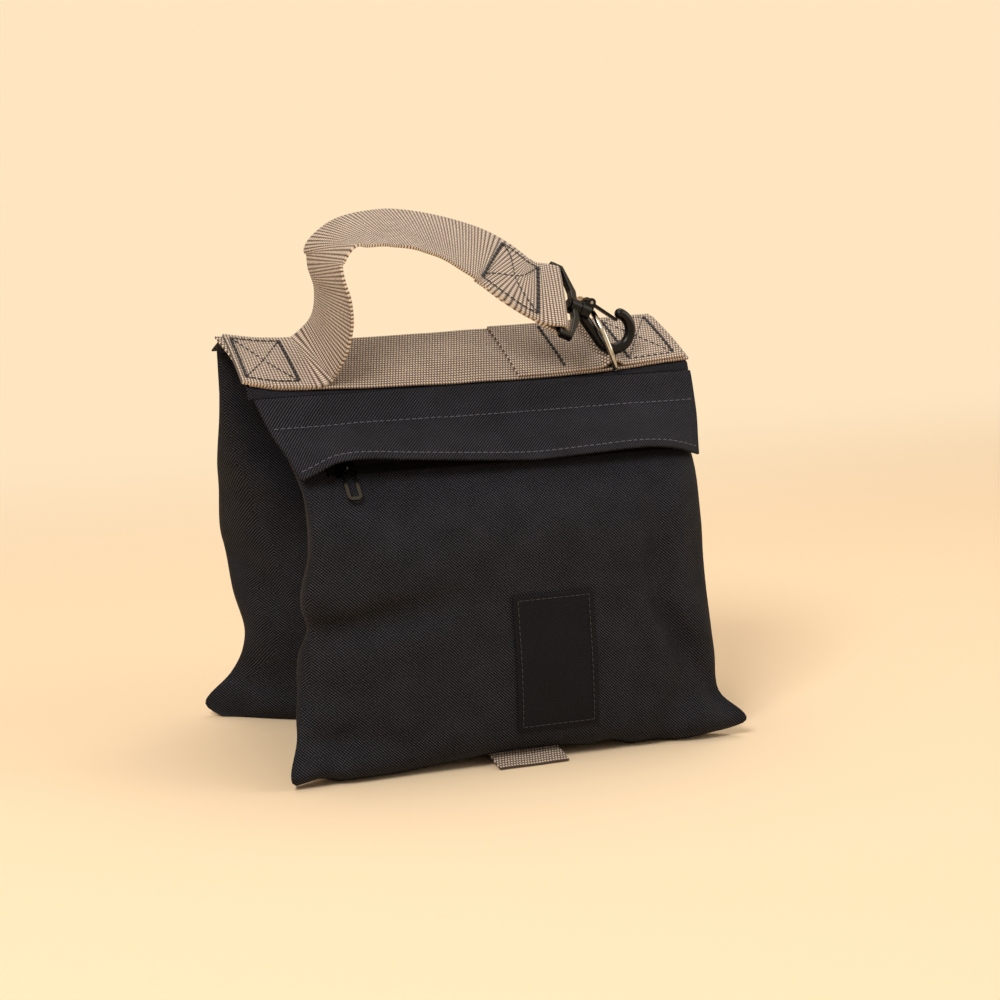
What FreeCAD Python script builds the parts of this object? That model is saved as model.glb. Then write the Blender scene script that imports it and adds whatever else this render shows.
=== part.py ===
"""Saddle sandbag: two pillow pouches on a webbing ridge, with a clip-on handle.

Frame: +Z up, X along the ridge, -Y the front (label side). The origin is on the floor,
under the middle of the bag. Both pouches are drawn in one outward frame, where +Y points
away from the ridge, and the front one is turned half round about Z.
"""
import FreeCAD, Part
import math
import os

import Sketcher

from FreeCAD import Placement, Rotation, Vector

doc = FreeCAD.newDocument("Sandbag")

# ---------------------------------------------------------------- driving dimensions (mm, degrees)
SIZES = {
    # ridge
    "bag_width": 254, "ridge_height": 207.5, "ridge_tilt": 26,
    "webbing_width": 50, "webbing_thick": 1.6, "fabric_thick": 1.2,
    "panel_margin": 1.2, "shelf_depth": 18, "shelf_tilt": 12,
    "soft_gap": 0.3, "fold_radius": 1.6,
    # pouch, as stations from the floor up: height, outer and inner wall, side seam, half width
    "foot_outer": 76, "foot_inner": 34, "foot_seam": 69, "foot_half": 119,
    "toe_height": 12, "toe_outer": 87, "toe_inner": 22, "toe_seam": 79, "toe_half": 127,
    "belly_height": 55, "belly_outer": 90, "belly_inner": 17, "belly_seam": 66, "belly_half": 117,
    "chest_height": 110, "chest_outer": 84, "chest_inner": 26, "chest_seam": 68, "chest_half": 116,
    "shoulder_height": 150, "shoulder_outer": 66, "shoulder_inner": 40,
    "shoulder_seam": 58, "shoulder_half": 114, "neck_half": 124,
    "side_curve": 50, "inner_curve": 58, "shoulder_curve": 9, "shoulder_inner_curve": 20,
    "neck_curve": 5, "void_top": 16,
    # ballast liner
    "liner_gap": 1.0, "seam_allowance": 0.5, "liner_seat": 0.3, "liner_height": 135, "liner_top_thick": 14,
    # flap and yoke
    "yoke_length": 20, "flap_length": 34, "flap_thick": 1.6, "flap_slope": 11.6,
    "flap_top_half": 120, "flap_hem_half": 114, "yoke_flare": 1,
    # zipper
    "zip_from_hinge": 46, "zip_half_length": 99, "slot_width": 9, "tape_width": 8.4, "tape_seat": 0.15,
    "tape_thick": 0.8, "tape_split": 0.4, "coil_width": 2.4, "coil_height": 1.3,
    "stop_length": 3, "slider_rest": 2, "slider_length": 11, "slider_width": 8, "slider_plate": 0.8,
    "slider_gap": 0.3, "bridge_height": 2.4, "bridge_thick": 0.8, "bridge_width": 1.2,
    "pull_length": 20, "pull_width": 8, "pull_thick": 1.2, "pull_frame": 1.9,
    "pull_ring": 1.35, "pull_ring_wire": 0.45,
    # label and tab
    "label_width": 48, "label_low": 19, "label_high": 94, "label_thick": 0.8, "label_shift": 16,
    "tab_width": 40, "tab_reach": 12, "tab_shift": 2,
    # strap ends on the ridge
    "sewn_start": 124, "sewn_length": 36, "turn_length": 7, "turn_lift": 0.8,
    "ring_strap_start": 24, "hump_foot": 1.2, "fold_back": 24, "fold_shift": 2, "fold_lift": 1.5,
    "fold_unroll": 3,
    # clip
    "clip_x": 48.8, "clip_y": -20, "clip_rise": 30.9, "clip_roll": 39, "clip_dip": 24.4,
    "eye_rod": 4.2, "eye_rounding": 1, "eye_side_gap": 0.7, "eye_shoulder": 5.6,
    "eye_nose": 12.5, "eye_nose_half": 12, "eye_bevel": 1, "collar_offset": 3.5,
    "boss_radius": 4.5, "boss_length": 6, "stud_radius": 2, "stud_clear": 0.05,
    "stud_head_radius": 3.2, "stud_head_thick": 1.2, "swivel_gap": 0.3,
    "hook_base_radius": 5, "hook_base_length": 5.5, "stud_grip": 3.3, "hook_rod": 3, "bowl_radius": 10,
    "bowl_reach": 22.5, "bowl_drop": 3.2, "shank_turn": 120, "shank_length": 18.8, "tip_turn": 92,
    "gate_width": 4, "gate_thick": 1.5, "gate_barrel": 1.8, "gate_pin_radius": 0.9,
    "gate_root_along": 2.2, "gate_root_up": 5.8, "gate_length": 19.4, "gate_dip": 9,
    "gate_side_gap": 0.2, "gate_cheek": 1.6, "gate_lug": 0.6,
    # D-ring
    "ring_wire": 1.5, "ring_half": 26.9, "ring_corner": 2,
    "ring_in_hook_along": 9.2, "ring_in_hook_up": -0.4,
}

sheet = doc.addObject("Spreadsheet::Sheet", "dims")
for row, (alias, value) in enumerate(SIZES.items(), start=1):
    sheet.set(f"A{row}", alias)
    sheet.set(f"B{row}", str(value))
    sheet.setAlias(f"B{row}", alias)
doc.recompute()


class Dims:
    """The sheet's values, read back by name."""

    def __getattr__(self, name):
        return float(getattr(sheet, name))


mm = Dims()
nodes = []

X_AXIS, Y_AXIS, Z_AXIS = Vector(1, 0, 0), Vector(0, 1, 0), Vector(0, 0, 1)


# ---------------------------------------------------------------- small helpers
def keep(obj, label, placement=None):
    """Give a finished sub-part its node name and its place."""
    obj.Label = label
    if placement is not None:
        obj.Placement = placement.multiply(obj.Placement)
    nodes.append(obj)
    return obj


def bind(obj, **expressions):
    """Bind properties to expressions on the sheet."""
    for prop, expression in expressions.items():
        obj.setExpression(prop, expression)
    return obj


def origin_plane(body, role):
    return next(f for f in body.Origin.OriginFeatures if f.Role == role)


def frame(origin, x_dir, y_dir):
    """A placement whose X and Y axes point along x_dir and, as nearly as it can, y_dir."""
    x_dir = Vector(x_dir).normalize()
    z_dir = x_dir.cross(y_dir).normalize()
    y_dir = z_dir.cross(x_dir)
    matrix = FreeCAD.Matrix(
        x_dir.x, y_dir.x, z_dir.x, origin.x,
        x_dir.y, y_dir.y, z_dir.y, origin.y,
        x_dir.z, y_dir.z, z_dir.z, origin.z,
        0, 0, 0, 1)
    return Placement(matrix)


def box(name, length, width, height, at=Vector()):
    """A Part::Box with sheet-bound sizes, centred along its length on its own X."""
    obj = doc.addObject("Part::Box", name)
    bind(obj, Length=length, Width=width, Height=height)
    obj.Placement.Base = at
    obj.setExpression(".Placement.Base.x", f"{at.x} - ({length}) / 2")
    return obj


def cylinder(name, radius, height, at, direction):
    obj = doc.addObject("Part::Cylinder", name)
    bind(obj, Radius=radius, Height=height)
    obj.Placement = Placement(at, Rotation(Z_AXIS, direction))
    return obj


def fuse(name, shapes):
    obj = doc.addObject("Part::MultiFuse", name)
    obj.Shapes = shapes
    obj.Refine = True
    return obj


def cut(name, base, tool):
    obj = doc.addObject("Part::Cut", name)
    obj.Base, obj.Tool = base, tool
    obj.Refine = True
    return obj


def solid(name, shape):
    """A Part::Feature for a shape that no parametric feature describes."""
    obj = doc.addObject("Part::Feature", name)
    obj.Shape = shape
    return obj


def prism(points, direction):
    """A closed polygon swept straight along a vector."""
    face = Part.Face(Part.makePolygon(list(points) + [points[0]]))
    return face.extrude(direction)


# ---------------------------------------------------------------- ridge frame
tilt = math.radians(mm.ridge_tilt)
RIDGE = Vector(0, 0, mm.ridge_height)
TO_FRONT = Vector(0, -math.cos(tilt), -math.sin(tilt))
RIDGE_UP = Vector(0, -math.sin(tilt), math.cos(tilt))
half_web = mm.webbing_width / 2


def on_ridge(x, across, up):
    """A point on the tilted ridge: x along it, across towards the front, up off the panel."""
    return RIDGE + X_AXIS * x + TO_FRONT * across + RIDGE_UP * up


ridge_place = frame(RIDGE, X_AXIS, TO_FRONT * -1)

# hinge lines of the two pouches, one just off each long edge of the saddle panel
edge_offset = mm.soft_gap + mm.fold_radius
shelf = math.radians(mm.shelf_tilt)
SHELF_OUT = Vector(0, math.cos(shelf), -math.sin(shelf))
front_edge = on_ridge(0, half_web + mm.panel_margin, -mm.fabric_thick / 2)
back_knee = on_ridge(0, -half_web, 0)
back_edge = back_knee + SHELF_OUT * mm.shelf_depth
front_hinge = front_edge + TO_FRONT * edge_offset
back_hinge = back_edge + SHELF_OUT * edge_offset - Vector(0, 0, mm.fabric_thick / 2)


# ---------------------------------------------------------------- saddle: panel and ridge webbing
def saddle_panel():
    """The fabric strip under the webbing, with a shelf that runs on behind it."""
    thick = mm.fabric_thick
    top = [on_ridge(0, half_web + mm.panel_margin, 0), back_knee, back_edge]
    under = [back_edge - Vector(0, 0, thick), back_knee - Vector(0, 0, thick / math.cos(tilt)),
             on_ridge(0, half_web + mm.panel_margin, -thick)]
    shape = prism([p - X_AXIS * (mm.bag_width / 2) for p in top + under], X_AXIS * mm.bag_width)
    keep(solid("SaddlePanel", shape), "saddle_panel")


def ridge_webbing():
    strip = doc.addObject("Part::Box", "RidgeWebbing")
    bind(strip, Length="dims.bag_width", Width="dims.webbing_width", Height="dims.webbing_thick")
    corner = Vector(-mm.bag_width / 2, -half_web, 0)
    keep(strip, "ridge_webbing", ridge_place.multiply(Placement(corner, Rotation())))


# ---------------------------------------------------------------- handle strap
clip_roll, clip_dip = math.radians(mm.clip_roll), math.radians(mm.clip_dip)
CLIP = Vector(mm.clip_x, mm.clip_y, mm.ridge_height + mm.clip_rise)
# the clip points along the ridge and down; its eye's bar lies across, front end low
CLIP_ALONG = Vector(math.cos(clip_dip), 0, -math.sin(clip_dip))
CLIP_ACROSS = (Y_AXIS * -math.cos(clip_roll) + CLIP_ALONG.cross(Y_AXIS * -1) * math.sin(clip_roll))


def strap_stations():
    """Centre points and roll angles of the handle strap, from its sewn end to the clip."""
    middle = 1.5 * mm.webbing_thick
    sewn_end = mm.sewn_length - mm.sewn_start
    flat = [(-mm.sewn_start, 0), (sewn_end, 0), (sewn_end + mm.turn_length, mm.turn_lift)]
    route = [(on_ridge(x, 0, middle + lift), mm.ridge_tilt) for x, lift in flat]
    # x, y and the height above the ridge, with the roll of the strap there
    arch = [
        (-74.5, 0, 10, 20), (-72.2, 0, 16.5, 12), (-71.9, 0, 23.5, 6), (-72, 0, 30, 3),
        (-73.5, 0, 37.5, 2), (-75.6, 0, 45.2, 2), (-76.4, 1, 53.1, 2), (-74.5, 1, 59.9, 4),
        (-68.7, 2, 65.1, 8), (-60.5, 2.5, 68.5, 12), (-50, 3, 70.7, 16), (-38.5, 2, 71.1, 19),
        (-26.5, 1, 69.9, 23), (-12.6, -2, 66.5, 27), (2.5, -6, 60, 31), (15, -9.6, 52.9, 34),
    ]
    route += [(Vector(x, y, mm.ridge_height + rise), roll) for x, y, rise, roll in arch]
    fold = CLIP - CLIP_ALONG * mm.fold_back + Vector(0, mm.fold_shift, mm.fold_lift)
    route.append((fold, mm.clip_roll - mm.fold_unroll))
    return route


def rolled(route):
    """Each station of a route with the direction across the strap that its roll gives."""
    out = []
    for i, (point, roll) in enumerate(route):
        before, after = route[max(i - 1, 0)][0], route[min(i + 1, len(route) - 1)][0]
        along = (after - before).normalize()
        side = (Y_AXIS * -1 + along * along.y).normalize()
        turn = math.radians(roll)
        out.append((point, side * math.cos(turn) + along.cross(side) * math.sin(turn)))
    return out


def handle_strap():
    """Webbing sewn down at the left, arched over, and folded back round the eye of the clip."""
    thick = mm.webbing_thick
    loop = mm.eye_rod / 2 + 2 * mm.soft_gap + thick / 2
    under = thick + mm.soft_gap
    up = CLIP_ACROSS.cross(CLIP_ALONG)
    path = rolled(strap_stations())
    *_, (mid, mid_across) = path
    start = CLIP - CLIP_ALONG * (mm.fold_back / 2)
    path.append((start, CLIP_ACROSS))
    for step in range(9):
        turn = math.radians(90 - 22.5 * step)
        on_loop = CLIP + up * (loop * math.sin(turn)) + CLIP_ALONG * (loop * math.cos(turn))
        path.append((on_loop, CLIP_ACROSS))
    path += [(start - up * under, CLIP_ACROSS), (mid - up * under, mid_across)]
    sections = []
    for i, (point, across) in enumerate(path):
        before, after = path[max(i - 1, 0)][0], path[min(i + 1, len(path) - 1)][0]
        lift = across.cross(after - before).normalize() * (thick / 2)
        edge = across * half_web
        corners = [point - edge - lift, point + edge - lift,
                   point + edge + lift, point - edge + lift]
        sections.append(Part.makePolygon(corners + [corners[0]]))
    keep(solid("HandleStrap", Part.makeLoft(sections, True, True)), "handle_strap")


# ---------------------------------------------------------------- ring strap and D-ring
RING_UP = mm.webbing_thick + mm.soft_gap + mm.ring_wire


def hook_point(along, up):
    """A point in the clip's plane, from the middle of the swivel collar."""
    collar = CLIP + CLIP_ALONG * (mm.eye_nose + mm.collar_offset)
    return collar + CLIP_ALONG * along + HOOK_UP * up


HOOK_UP = (Z_AXIS - CLIP_ALONG * CLIP_ALONG.z).normalize()
# the ring's bow passes through the hook: its lean and its place on the ridge follow
caught = hook_point(mm.ring_in_hook_along, mm.ring_in_hook_up) - on_ridge(0, 0, RING_UP)
ring_across = caught.dot(TO_FRONT)
ring_rise = math.sqrt(mm.ring_half ** 2 - ring_across ** 2)
ring_lean = math.acos(min(1.0, caught.dot(RIDGE_UP) / ring_rise))
ring_x = caught.x + ring_rise * math.sin(ring_lean)
RING_CENTRE = on_ridge(ring_x, 0, RING_UP)
RING_BOW = RIDGE_UP * math.cos(ring_lean) - X_AXIS * math.sin(ring_lean)


def ring_strap():
    """A strip sewn on the ridge, humped over the straight bar of the ring."""
    thick = mm.webbing_thick
    bore = mm.ring_wire + mm.soft_gap

    def face(radius, level, foot):
        arc = [(ring_x + radius * math.cos(turn), RING_UP + radius * math.sin(turn))
               for turn in (math.radians(180 - 20 * i) for i in range(10))]
        return ([(mm.ring_strap_start, level), (ring_x - radius - foot, level)] + arc
                + [(ring_x + radius + foot, level), (mm.sewn_start, level)])

    under = face(bore, thick, mm.hump_foot)
    over = face(bore + thick, 2 * thick, mm.hump_foot + mm.soft_gap)
    body = doc.addObject("PartDesign::Body", "RingStrap")
    outline = flat_outline(body, "RingStrapOutline", under + over[::-1], "XZ_Plane")
    pad(body, "RingStrapPad", outline, "dims.webbing_width")
    keep(body, "ring_strap", ridge_place)


def d_ring():
    """A straight bar closed by a half-round bow of the same wire, in one sweep."""
    reach, corner = mm.ring_half, mm.ring_corner
    bar_end = math.sqrt((reach - corner) ** 2 - corner ** 2)
    turn = math.atan2(corner, bar_end)

    def on_bow(angle):
        return Vector(math.cos(angle), math.sin(angle), 0) * reach

    def corner_arc(sign):
        centre = Vector(sign * bar_end, corner, 0)
        half_way = (turn - math.pi / 2) / 2
        middle = centre + Vector(sign * math.cos(half_way), math.sin(half_way), 0) * corner
        on_bar, up = Vector(sign * bar_end, 0, 0), on_bow(turn)
        return Part.Arc(on_bar, middle, Vector(sign * up.x, up.y, 0)).toShape()

    bar = Part.LineSegment(Vector(-bar_end, 0, 0), Vector(bar_end, 0, 0)).toShape()
    bow = Part.Arc(on_bow(turn), on_bow(math.pi / 2), on_bow(math.pi - turn)).toShape()
    path = Part.Wire(Part.__sortEdges__([bar, corner_arc(1), bow, corner_arc(-1)]))
    profile = Part.Wire(Part.makeCircle(mm.ring_wire, Vector(), X_AXIS))
    ring = path.makePipeShell([profile], True, False)
    keep(solid("DRing", ring), "d_ring", frame(RING_CENTRE, TO_FRONT, RING_BOW))


# ---------------------------------------------------------------- snap hook with a swivel eye
clip_place = frame(CLIP, CLIP_ALONG, CLIP_ACROSS)
CLIP_NORMAL = clip_place.Rotation.multVec(Z_AXIS)
hook_place = frame(CLIP, CLIP_ALONG, HOOK_UP)
HOOK_SIDE = hook_place.Rotation.multVec(Z_AXIS)
COLLAR = mm.eye_nose + mm.collar_offset


def flat_outline(body, name, points, plane="XY_Plane"):
    """A closed sketch through the points, every corner pinned by its two distances."""
    sketch = body.newObject("Sketcher::SketchObject", name)
    sketch.AttachmentSupport = [(origin_plane(body, plane), "")]
    sketch.MapMode = "FlatFace"
    count = len(points)
    for i, (x, y) in enumerate(points):
        x2, y2 = points[(i + 1) % count]
        sketch.addGeometry(Part.LineSegment(Vector(x, y, 0), Vector(x2, y2, 0)))
    for i in range(count):
        sketch.addConstraint(Sketcher.Constraint("Coincident", i, 2, (i + 1) % count, 1))
    for i, (x, y) in enumerate(points):
        sketch.addConstraint(Sketcher.Constraint("DistanceX", -1, 1, i, 1, x))
        sketch.addConstraint(Sketcher.Constraint("DistanceY", -1, 1, i, 1, y))
    return sketch


def pad(body, name, sketch, length, midplane=True):
    feature = body.newObject("PartDesign::Pad", name)
    feature.Profile = sketch
    if midplane:
        feature.SideType = "Symmetric"
    feature.setExpression("Length", length)
    return feature


def snap_eye():
    """The loop that the strap folds round, with the boss that holds the swivel stud."""
    rod = mm.eye_rod
    inner = half_web + mm.eye_side_gap
    body = doc.addObject("PartDesign::Body", "SnapEyeLoop")
    outer = [(-rod / 2, -inner - rod), (mm.eye_shoulder, -inner - rod),
             (mm.eye_nose, -mm.eye_nose_half), (mm.eye_nose, mm.eye_nose_half),
             (mm.eye_shoulder, inner + rod), (-rod / 2, inner + rod)]
    pad(body, "EyePad", flat_outline(body, "EyeOutline", outer), "dims.eye_rod")
    bevel, nose = mm.eye_shoulder - mm.eye_bevel, mm.eye_nose_half - mm.eye_bevel
    hole = [(rod / 2, -inner), (bevel, -inner), (mm.eye_nose - rod, -nose),
            (mm.eye_nose - rod, nose), (bevel, inner), (rod / 2, inner)]
    pocket = body.newObject("PartDesign::Pocket", "EyeWindow")
    pocket.Profile = flat_outline(body, "EyeWindowOutline", hole)
    pocket.Type = "ThroughAll"
    pocket.SideType = "Symmetric"
    doc.recompute()
    fillet = body.newObject("PartDesign::Fillet", "EyeRounding")
    fillet.Base = (pocket, [f"Edge{i + 1}" for i, e in enumerate(pocket.Shape.Edges)
                            if abs(e.Vertexes[0].Z - e.Vertexes[-1].Z) < 1e-6])
    fillet.setExpression("Radius", "dims.eye_rounding")
    doc.recompute()
    boss = cylinder("EyeBoss", "dims.boss_radius", "dims.boss_length",
                    Vector(BOSS_BACK, 0, 0), X_AXIS)
    bore = cylinder("EyeBore", "dims.stud_radius + dims.stud_clear", "3 * dims.boss_length",
                    Vector(mm.eye_nose - 2 * mm.boss_length, 0, 0), X_AXIS)
    head = cylinder("EyeHeadRoom", "dims.stud_head_radius + 2 * dims.stud_clear",
                    "dims.boss_length", Vector(BOSS_BACK - mm.boss_length, 0, 0), X_AXIS)
    solid_eye = fuse("EyeSolid", [body, boss])
    keep(cut("SnapEye", solid_eye, fuse("EyeBores", [bore, head])), "snap_eye", clip_place)


BOSS_NOSE = mm.eye_nose + mm.eye_bevel
BOSS_BACK = BOSS_NOSE - mm.boss_length
HOOK_BACK = BOSS_NOSE + mm.swivel_gap


def swivel_stud():
    """A headed stud, fast in the hook, turning in the boss of the eye."""
    head = cylinder("StudHead", "dims.stud_head_radius", "dims.stud_head_thick",
                    Vector(BOSS_BACK - mm.stud_head_thick - mm.stud_clear, 0, 0), X_AXIS)
    stem_start = BOSS_BACK - mm.stud_head_thick - mm.stud_clear
    stem = doc.addObject("Part::Cylinder", "StudStem")
    stem.setExpression("Radius", "dims.stud_radius")
    stem.Height = HOOK_BACK - stem_start + mm.stud_grip
    stem.Placement = Placement(Vector(stem_start, 0, 0), Rotation(Z_AXIS, X_AXIS))
    keep(fuse("SwivelStud", [head, stem]), "swivel_stud", hook_place)


def hook_path():
    """The hook's centre line in its plane: a straight shank, then the bowl to the tip."""
    centre = Vector(COLLAR + mm.bowl_reach, -mm.bowl_drop, 0)
    start_turn, end_turn = -math.radians(mm.shank_turn), math.radians(mm.tip_turn)

    def on_bowl(turn):
        return centre + Vector(math.cos(turn), math.sin(turn), 0) * mm.bowl_radius

    shank_end = on_bowl(start_turn)
    shank_way = Vector(-math.sin(start_turn), math.cos(start_turn), 0)
    shank_start = shank_end - shank_way * mm.shank_length
    arc = Part.Arc(shank_end, on_bowl((start_turn + end_turn) / 2), on_bowl(end_turn))
    line = Part.LineSegment(shank_start, shank_end)
    return line, arc, shank_start, shank_way, on_bowl(end_turn)


def snap_hook():
    """The hook: a round base on the stud, two cheeks for the gate and a bent rod."""
    line, arc, start, way, tip = hook_path()
    path = Part.Wire([line.toShape(), arc.toShape()])
    profile = Part.Wire(Part.makeCircle(mm.hook_rod, start, way))
    rod = path.makePipeShell([profile], True, False)
    nose = Part.makeSphere(mm.hook_rod, tip)
    base = Part.makeCylinder(mm.hook_base_radius, mm.hook_base_length,
                             Vector(HOOK_BACK, 0, 0), X_AXIS, 360)
    heel = Part.makeSphere(mm.hook_rod, start)
    cheek = mm.gate_width / 2 + mm.gate_side_gap + mm.gate_cheek
    root, lug_radius = gate_root(), mm.gate_barrel + mm.gate_lug
    lug = Part.makeCylinder(lug_radius, 2 * cheek, root - Z_AXIS * cheek, Z_AXIS, 360)
    foot = Part.makeBox(2 * lug_radius, mm.gate_root_up, 2 * cheek,
                        root - Vector(lug_radius, mm.gate_root_up, cheek))
    slot_half = mm.gate_width / 2 + mm.gate_side_gap
    room = mm.gate_barrel + mm.gate_side_gap
    slot = Part.makeBox(4 * room, 4 * room, 2 * slot_half,
                        root - Vector(room, room, slot_half))
    # the shank's own side stays whole: the foot ends where the ring needs room
    trim = Part.makeBox(4 * room, 6 * room, 4 * cheek,
                        Vector(HOOK_BACK + mm.hook_base_length, -6 * room + room, -2 * cheek))
    body = base.fuse(foot.cut(trim)).multiFuse([lug, heel, rod, nose]).cut(slot)
    pin = Part.makeCylinder(mm.gate_pin_radius, 2 * cheek, root - Z_AXIS * cheek, Z_AXIS, 360)
    stem = Part.makeCylinder(mm.stud_radius, mm.stud_grip, Vector(HOOK_BACK, 0, 0), X_AXIS, 360)
    hook = body.cut(pin).cut(stem)
    keep(solid("SnapHook", hook.removeSplitter()), "snap_hook", hook_place)


def gate_root():
    return Vector(COLLAR + mm.gate_root_along, mm.gate_root_up, 0)


def snap_gate():
    """The thin sprung tongue that closes the hook from inside its tip."""
    barrel = cylinder("GateBarrel", "dims.gate_barrel", "dims.gate_width",
                      Vector(0, 0, -mm.gate_width / 2), Z_AXIS)
    tongue = doc.addObject("Part::Box", "GateTongue")
    bind(tongue, Length="dims.gate_length", Width="dims.gate_thick", Height="dims.gate_width")
    tongue.Placement.Base = Vector(0, -mm.gate_thick / 2, -mm.gate_width / 2)
    hole = cylinder("GateHole", "dims.gate_pin_radius + dims.stud_clear", "2 * dims.gate_width",
                    Vector(0, 0, -mm.gate_width), Z_AXIS)
    gate = cut("SnapGate", fuse("GateSolid", [barrel, tongue]), hole)
    own = Placement(gate_root(), Rotation(Z_AXIS, -mm.gate_dip))
    keep(gate, "snap_gate", hook_place.multiply(own))


def gate_pin():
    cheek = mm.gate_width / 2 + mm.gate_side_gap + mm.gate_cheek
    pin = doc.addObject("Part::Cylinder", "GatePin")
    bind(pin, Radius="dims.gate_pin_radius",
         Height="dims.gate_width + 2 * dims.gate_side_gap + 2 * dims.gate_cheek")
    pin.Placement.Base = gate_root() - Z_AXIS * cheek
    keep(pin, "gate_pin", hook_place)


# ---------------------------------------------------------------- pouches
class Size:
    """A number together with the expression on the sheet that gives it."""

    def __init__(self, number, text):
        self.number, self.text = number, text

    def __add__(self, other):
        return Size(self.number + other.number, f"({self.text} + {other.text})")

    def __sub__(self, other):
        return Size(self.number - other.number, f"({self.text} - {other.text})")

    def __mul__(self, factor):
        return Size(self.number * factor, f"({self.text} * {factor})")


def size(alias):
    return Size(getattr(mm, alias), f"dims.{alias}")


def fixed(number):
    """A place that follows from the hinge lines, which the sheet's values gave above."""
    return Size(number, f"{number:.6f}")


def stations(hinge):
    """The outside of a pouch from the floor to its hinge line."""
    heights = [("foot", fixed(0))] + [(part, size(part + "_height"))
                                      for part in ("toe", "belly", "chest", "shoulder")]
    rows = [dict(name=part.title(), height=height, half=size(part + "_half"),
                 seam=size(part + "_seam"), outer=size(part + "_outer"),
                 inner=size(part + "_inner"), curve=size("side_curve"),
                 inner_curve=size("inner_curve"))
            for part, height in heights]
    rows[-1].update(curve=size("shoulder_curve"), inner_curve=size("shoulder_inner_curve"))
    out = fixed(abs(hinge.y))
    rows.append(dict(name="Neck", height=fixed(hinge.z), half=size("neck_half"), seam=out,
                     outer=out + size("fold_radius"), inner=out - size("fold_radius"),
                     curve=size("neck_curve"), inner_curve=size("neck_curve")))
    return rows


def inset(row, gap, **changes):
    """The same station moved inwards all round."""
    new = dict(row, half=row["half"] - gap - gap * mm.seam_allowance, outer=row["outer"] - gap,
               inner=row["inner"] + gap)
    new.update(changes)
    return new


def section(body, prefix, row):
    """A pillow's cross-section: two flat walls that curve to meet at the side seams."""
    sketch = body.newObject("Sketcher::SketchObject", prefix + row["name"])
    sketch.AttachmentSupport = [(origin_plane(body, "XY_Plane"), "")]
    sketch.MapMode = "FlatFace"
    sketch.setExpression(".AttachmentOffset.Base.z", row["height"].text)
    half, seam = row["half"].number, row["seam"].number

    def wall(reach, curve):
        """One wall's corner, the middle of its side curve and the end of its flat part."""
        rise, flat = abs(reach - seam), half - curve
        radius = (curve ** 2 + rise ** 2) / (2 * rise)
        facing = math.copysign(1, reach - seam)
        turn = (math.asin((radius - rise) / radius) + math.pi / 2) / 2
        spot = Vector(flat + radius * math.cos(turn),
                      reach - facing * radius * (1 - math.sin(turn)), 0)
        return Vector(half, seam, 0), spot, Vector(flat, reach, 0)

    def mirrored(p):
        return Vector(-p.x, p.y, 0)

    corner, outer_spot, outer_end = wall(row["outer"].number, row["curve"].number)
    _, inner_spot, inner_end = wall(row["inner"].number, row["inner_curve"].number)
    sketch.addGeometry([
        Part.Arc(corner, outer_spot, outer_end),
        Part.LineSegment(outer_end, mirrored(outer_end)),
        Part.Arc(mirrored(outer_end), mirrored(outer_spot), mirrored(corner)),
        Part.Arc(mirrored(corner), mirrored(inner_spot), mirrored(inner_end)),
        Part.LineSegment(mirrored(inner_end), inner_end),
        Part.Arc(inner_end, inner_spot, corner)], False)
    link = Sketcher.Constraint
    sketch.addConstraint([
        link("Tangent", 0, 2, 1, 1), link("Tangent", 1, 2, 2, 1),
        link("Coincident", 2, 2, 3, 1), link("Tangent", 3, 2, 4, 1),
        link("Tangent", 4, 2, 5, 1), link("Coincident", 5, 2, 0, 1),
        link("Symmetric", 0, 1, 2, 2, -2), link("Symmetric", 1, 1, 1, 2, -2),
        link("Symmetric", 4, 1, 4, 2, -2)])
    pins = [
        ("half", link("DistanceX", -1, 1, 0, 1, half), row["half"].text),
        ("seam", link("DistanceY", -1, 1, 0, 1, seam), row["seam"].text),
        ("flat", link("DistanceX", -1, 1, 1, 1, outer_end.x),
         f"{row['half'].text} - {row['curve'].text}"),
        ("outer", link("DistanceY", -1, 1, 1, 1, row["outer"].number), row["outer"].text),
        ("inner_flat", link("DistanceX", -1, 1, 5, 1, inner_end.x),
         f"{row['half'].text} - {row['inner_curve'].text}"),
        ("inner", link("DistanceY", -1, 1, 5, 1, row["inner"].number), row["inner"].text)]
    for name, constraint, expression in pins:
        index = sketch.addConstraint(constraint)
        sketch.renameConstraint(index, name)
        sketch.setExpression(f"Constraints.{name}", expression)
    return sketch


def loft(body, kind, name, sections):
    feature = body.newObject(f"PartDesign::{kind}Loft", name)
    feature.Profile = sections[0]
    feature.Sections = sections[1:]
    feature.Ruled = True
    return feature


class Side:
    """One pouch's names, hinge line, wall frame and place."""

    def __init__(self, name, hinge, turned):
        self.name, self.hinge = name, hinge
        self.title = name.title()
        self.place = Placement(Vector(), Rotation(Z_AXIS, 180 if turned else 0))
        self.rows = stations(hinge)
        neck, shoulder = self.rows[-1], self.rows[-2]
        self.top = Vector(0, neck["outer"].number, hinge.z)
        down = Vector(0, shoulder["outer"].number, shoulder["height"].number) - self.top
        self.down = down.normalize()
        # on the wall: X along the bag, Y down the wall, Z out of it
        self.wall = frame(self.top, X_AXIS * -1, self.down)
        if self.wall.Rotation.multVec(Z_AXIS).y < 0:
            self.wall = frame(self.top, X_AXIS, self.down)
        self.out = self.wall.Rotation.multVec(Z_AXIS)

    def wall_outer(self, height):
        """How far out the middle of the outer wall stands at a height."""
        for low, high in zip(self.rows, self.rows[1:]):
            z0, z1 = low["height"].number, high["height"].number
            if z0 <= height <= z1:
                share = (height - z0) / (z1 - z0)
                return low["outer"].number + share * (high["outer"].number - low["outer"].number)
        raise ValueError(height)

    def seat(self, obj, label, place=None):
        """Put a finished sub-part, drawn in the outward frame or on the wall, where it goes."""
        return keep(obj, f"{self.name}_{label}", self.place.multiply(place or Placement()))


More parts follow.
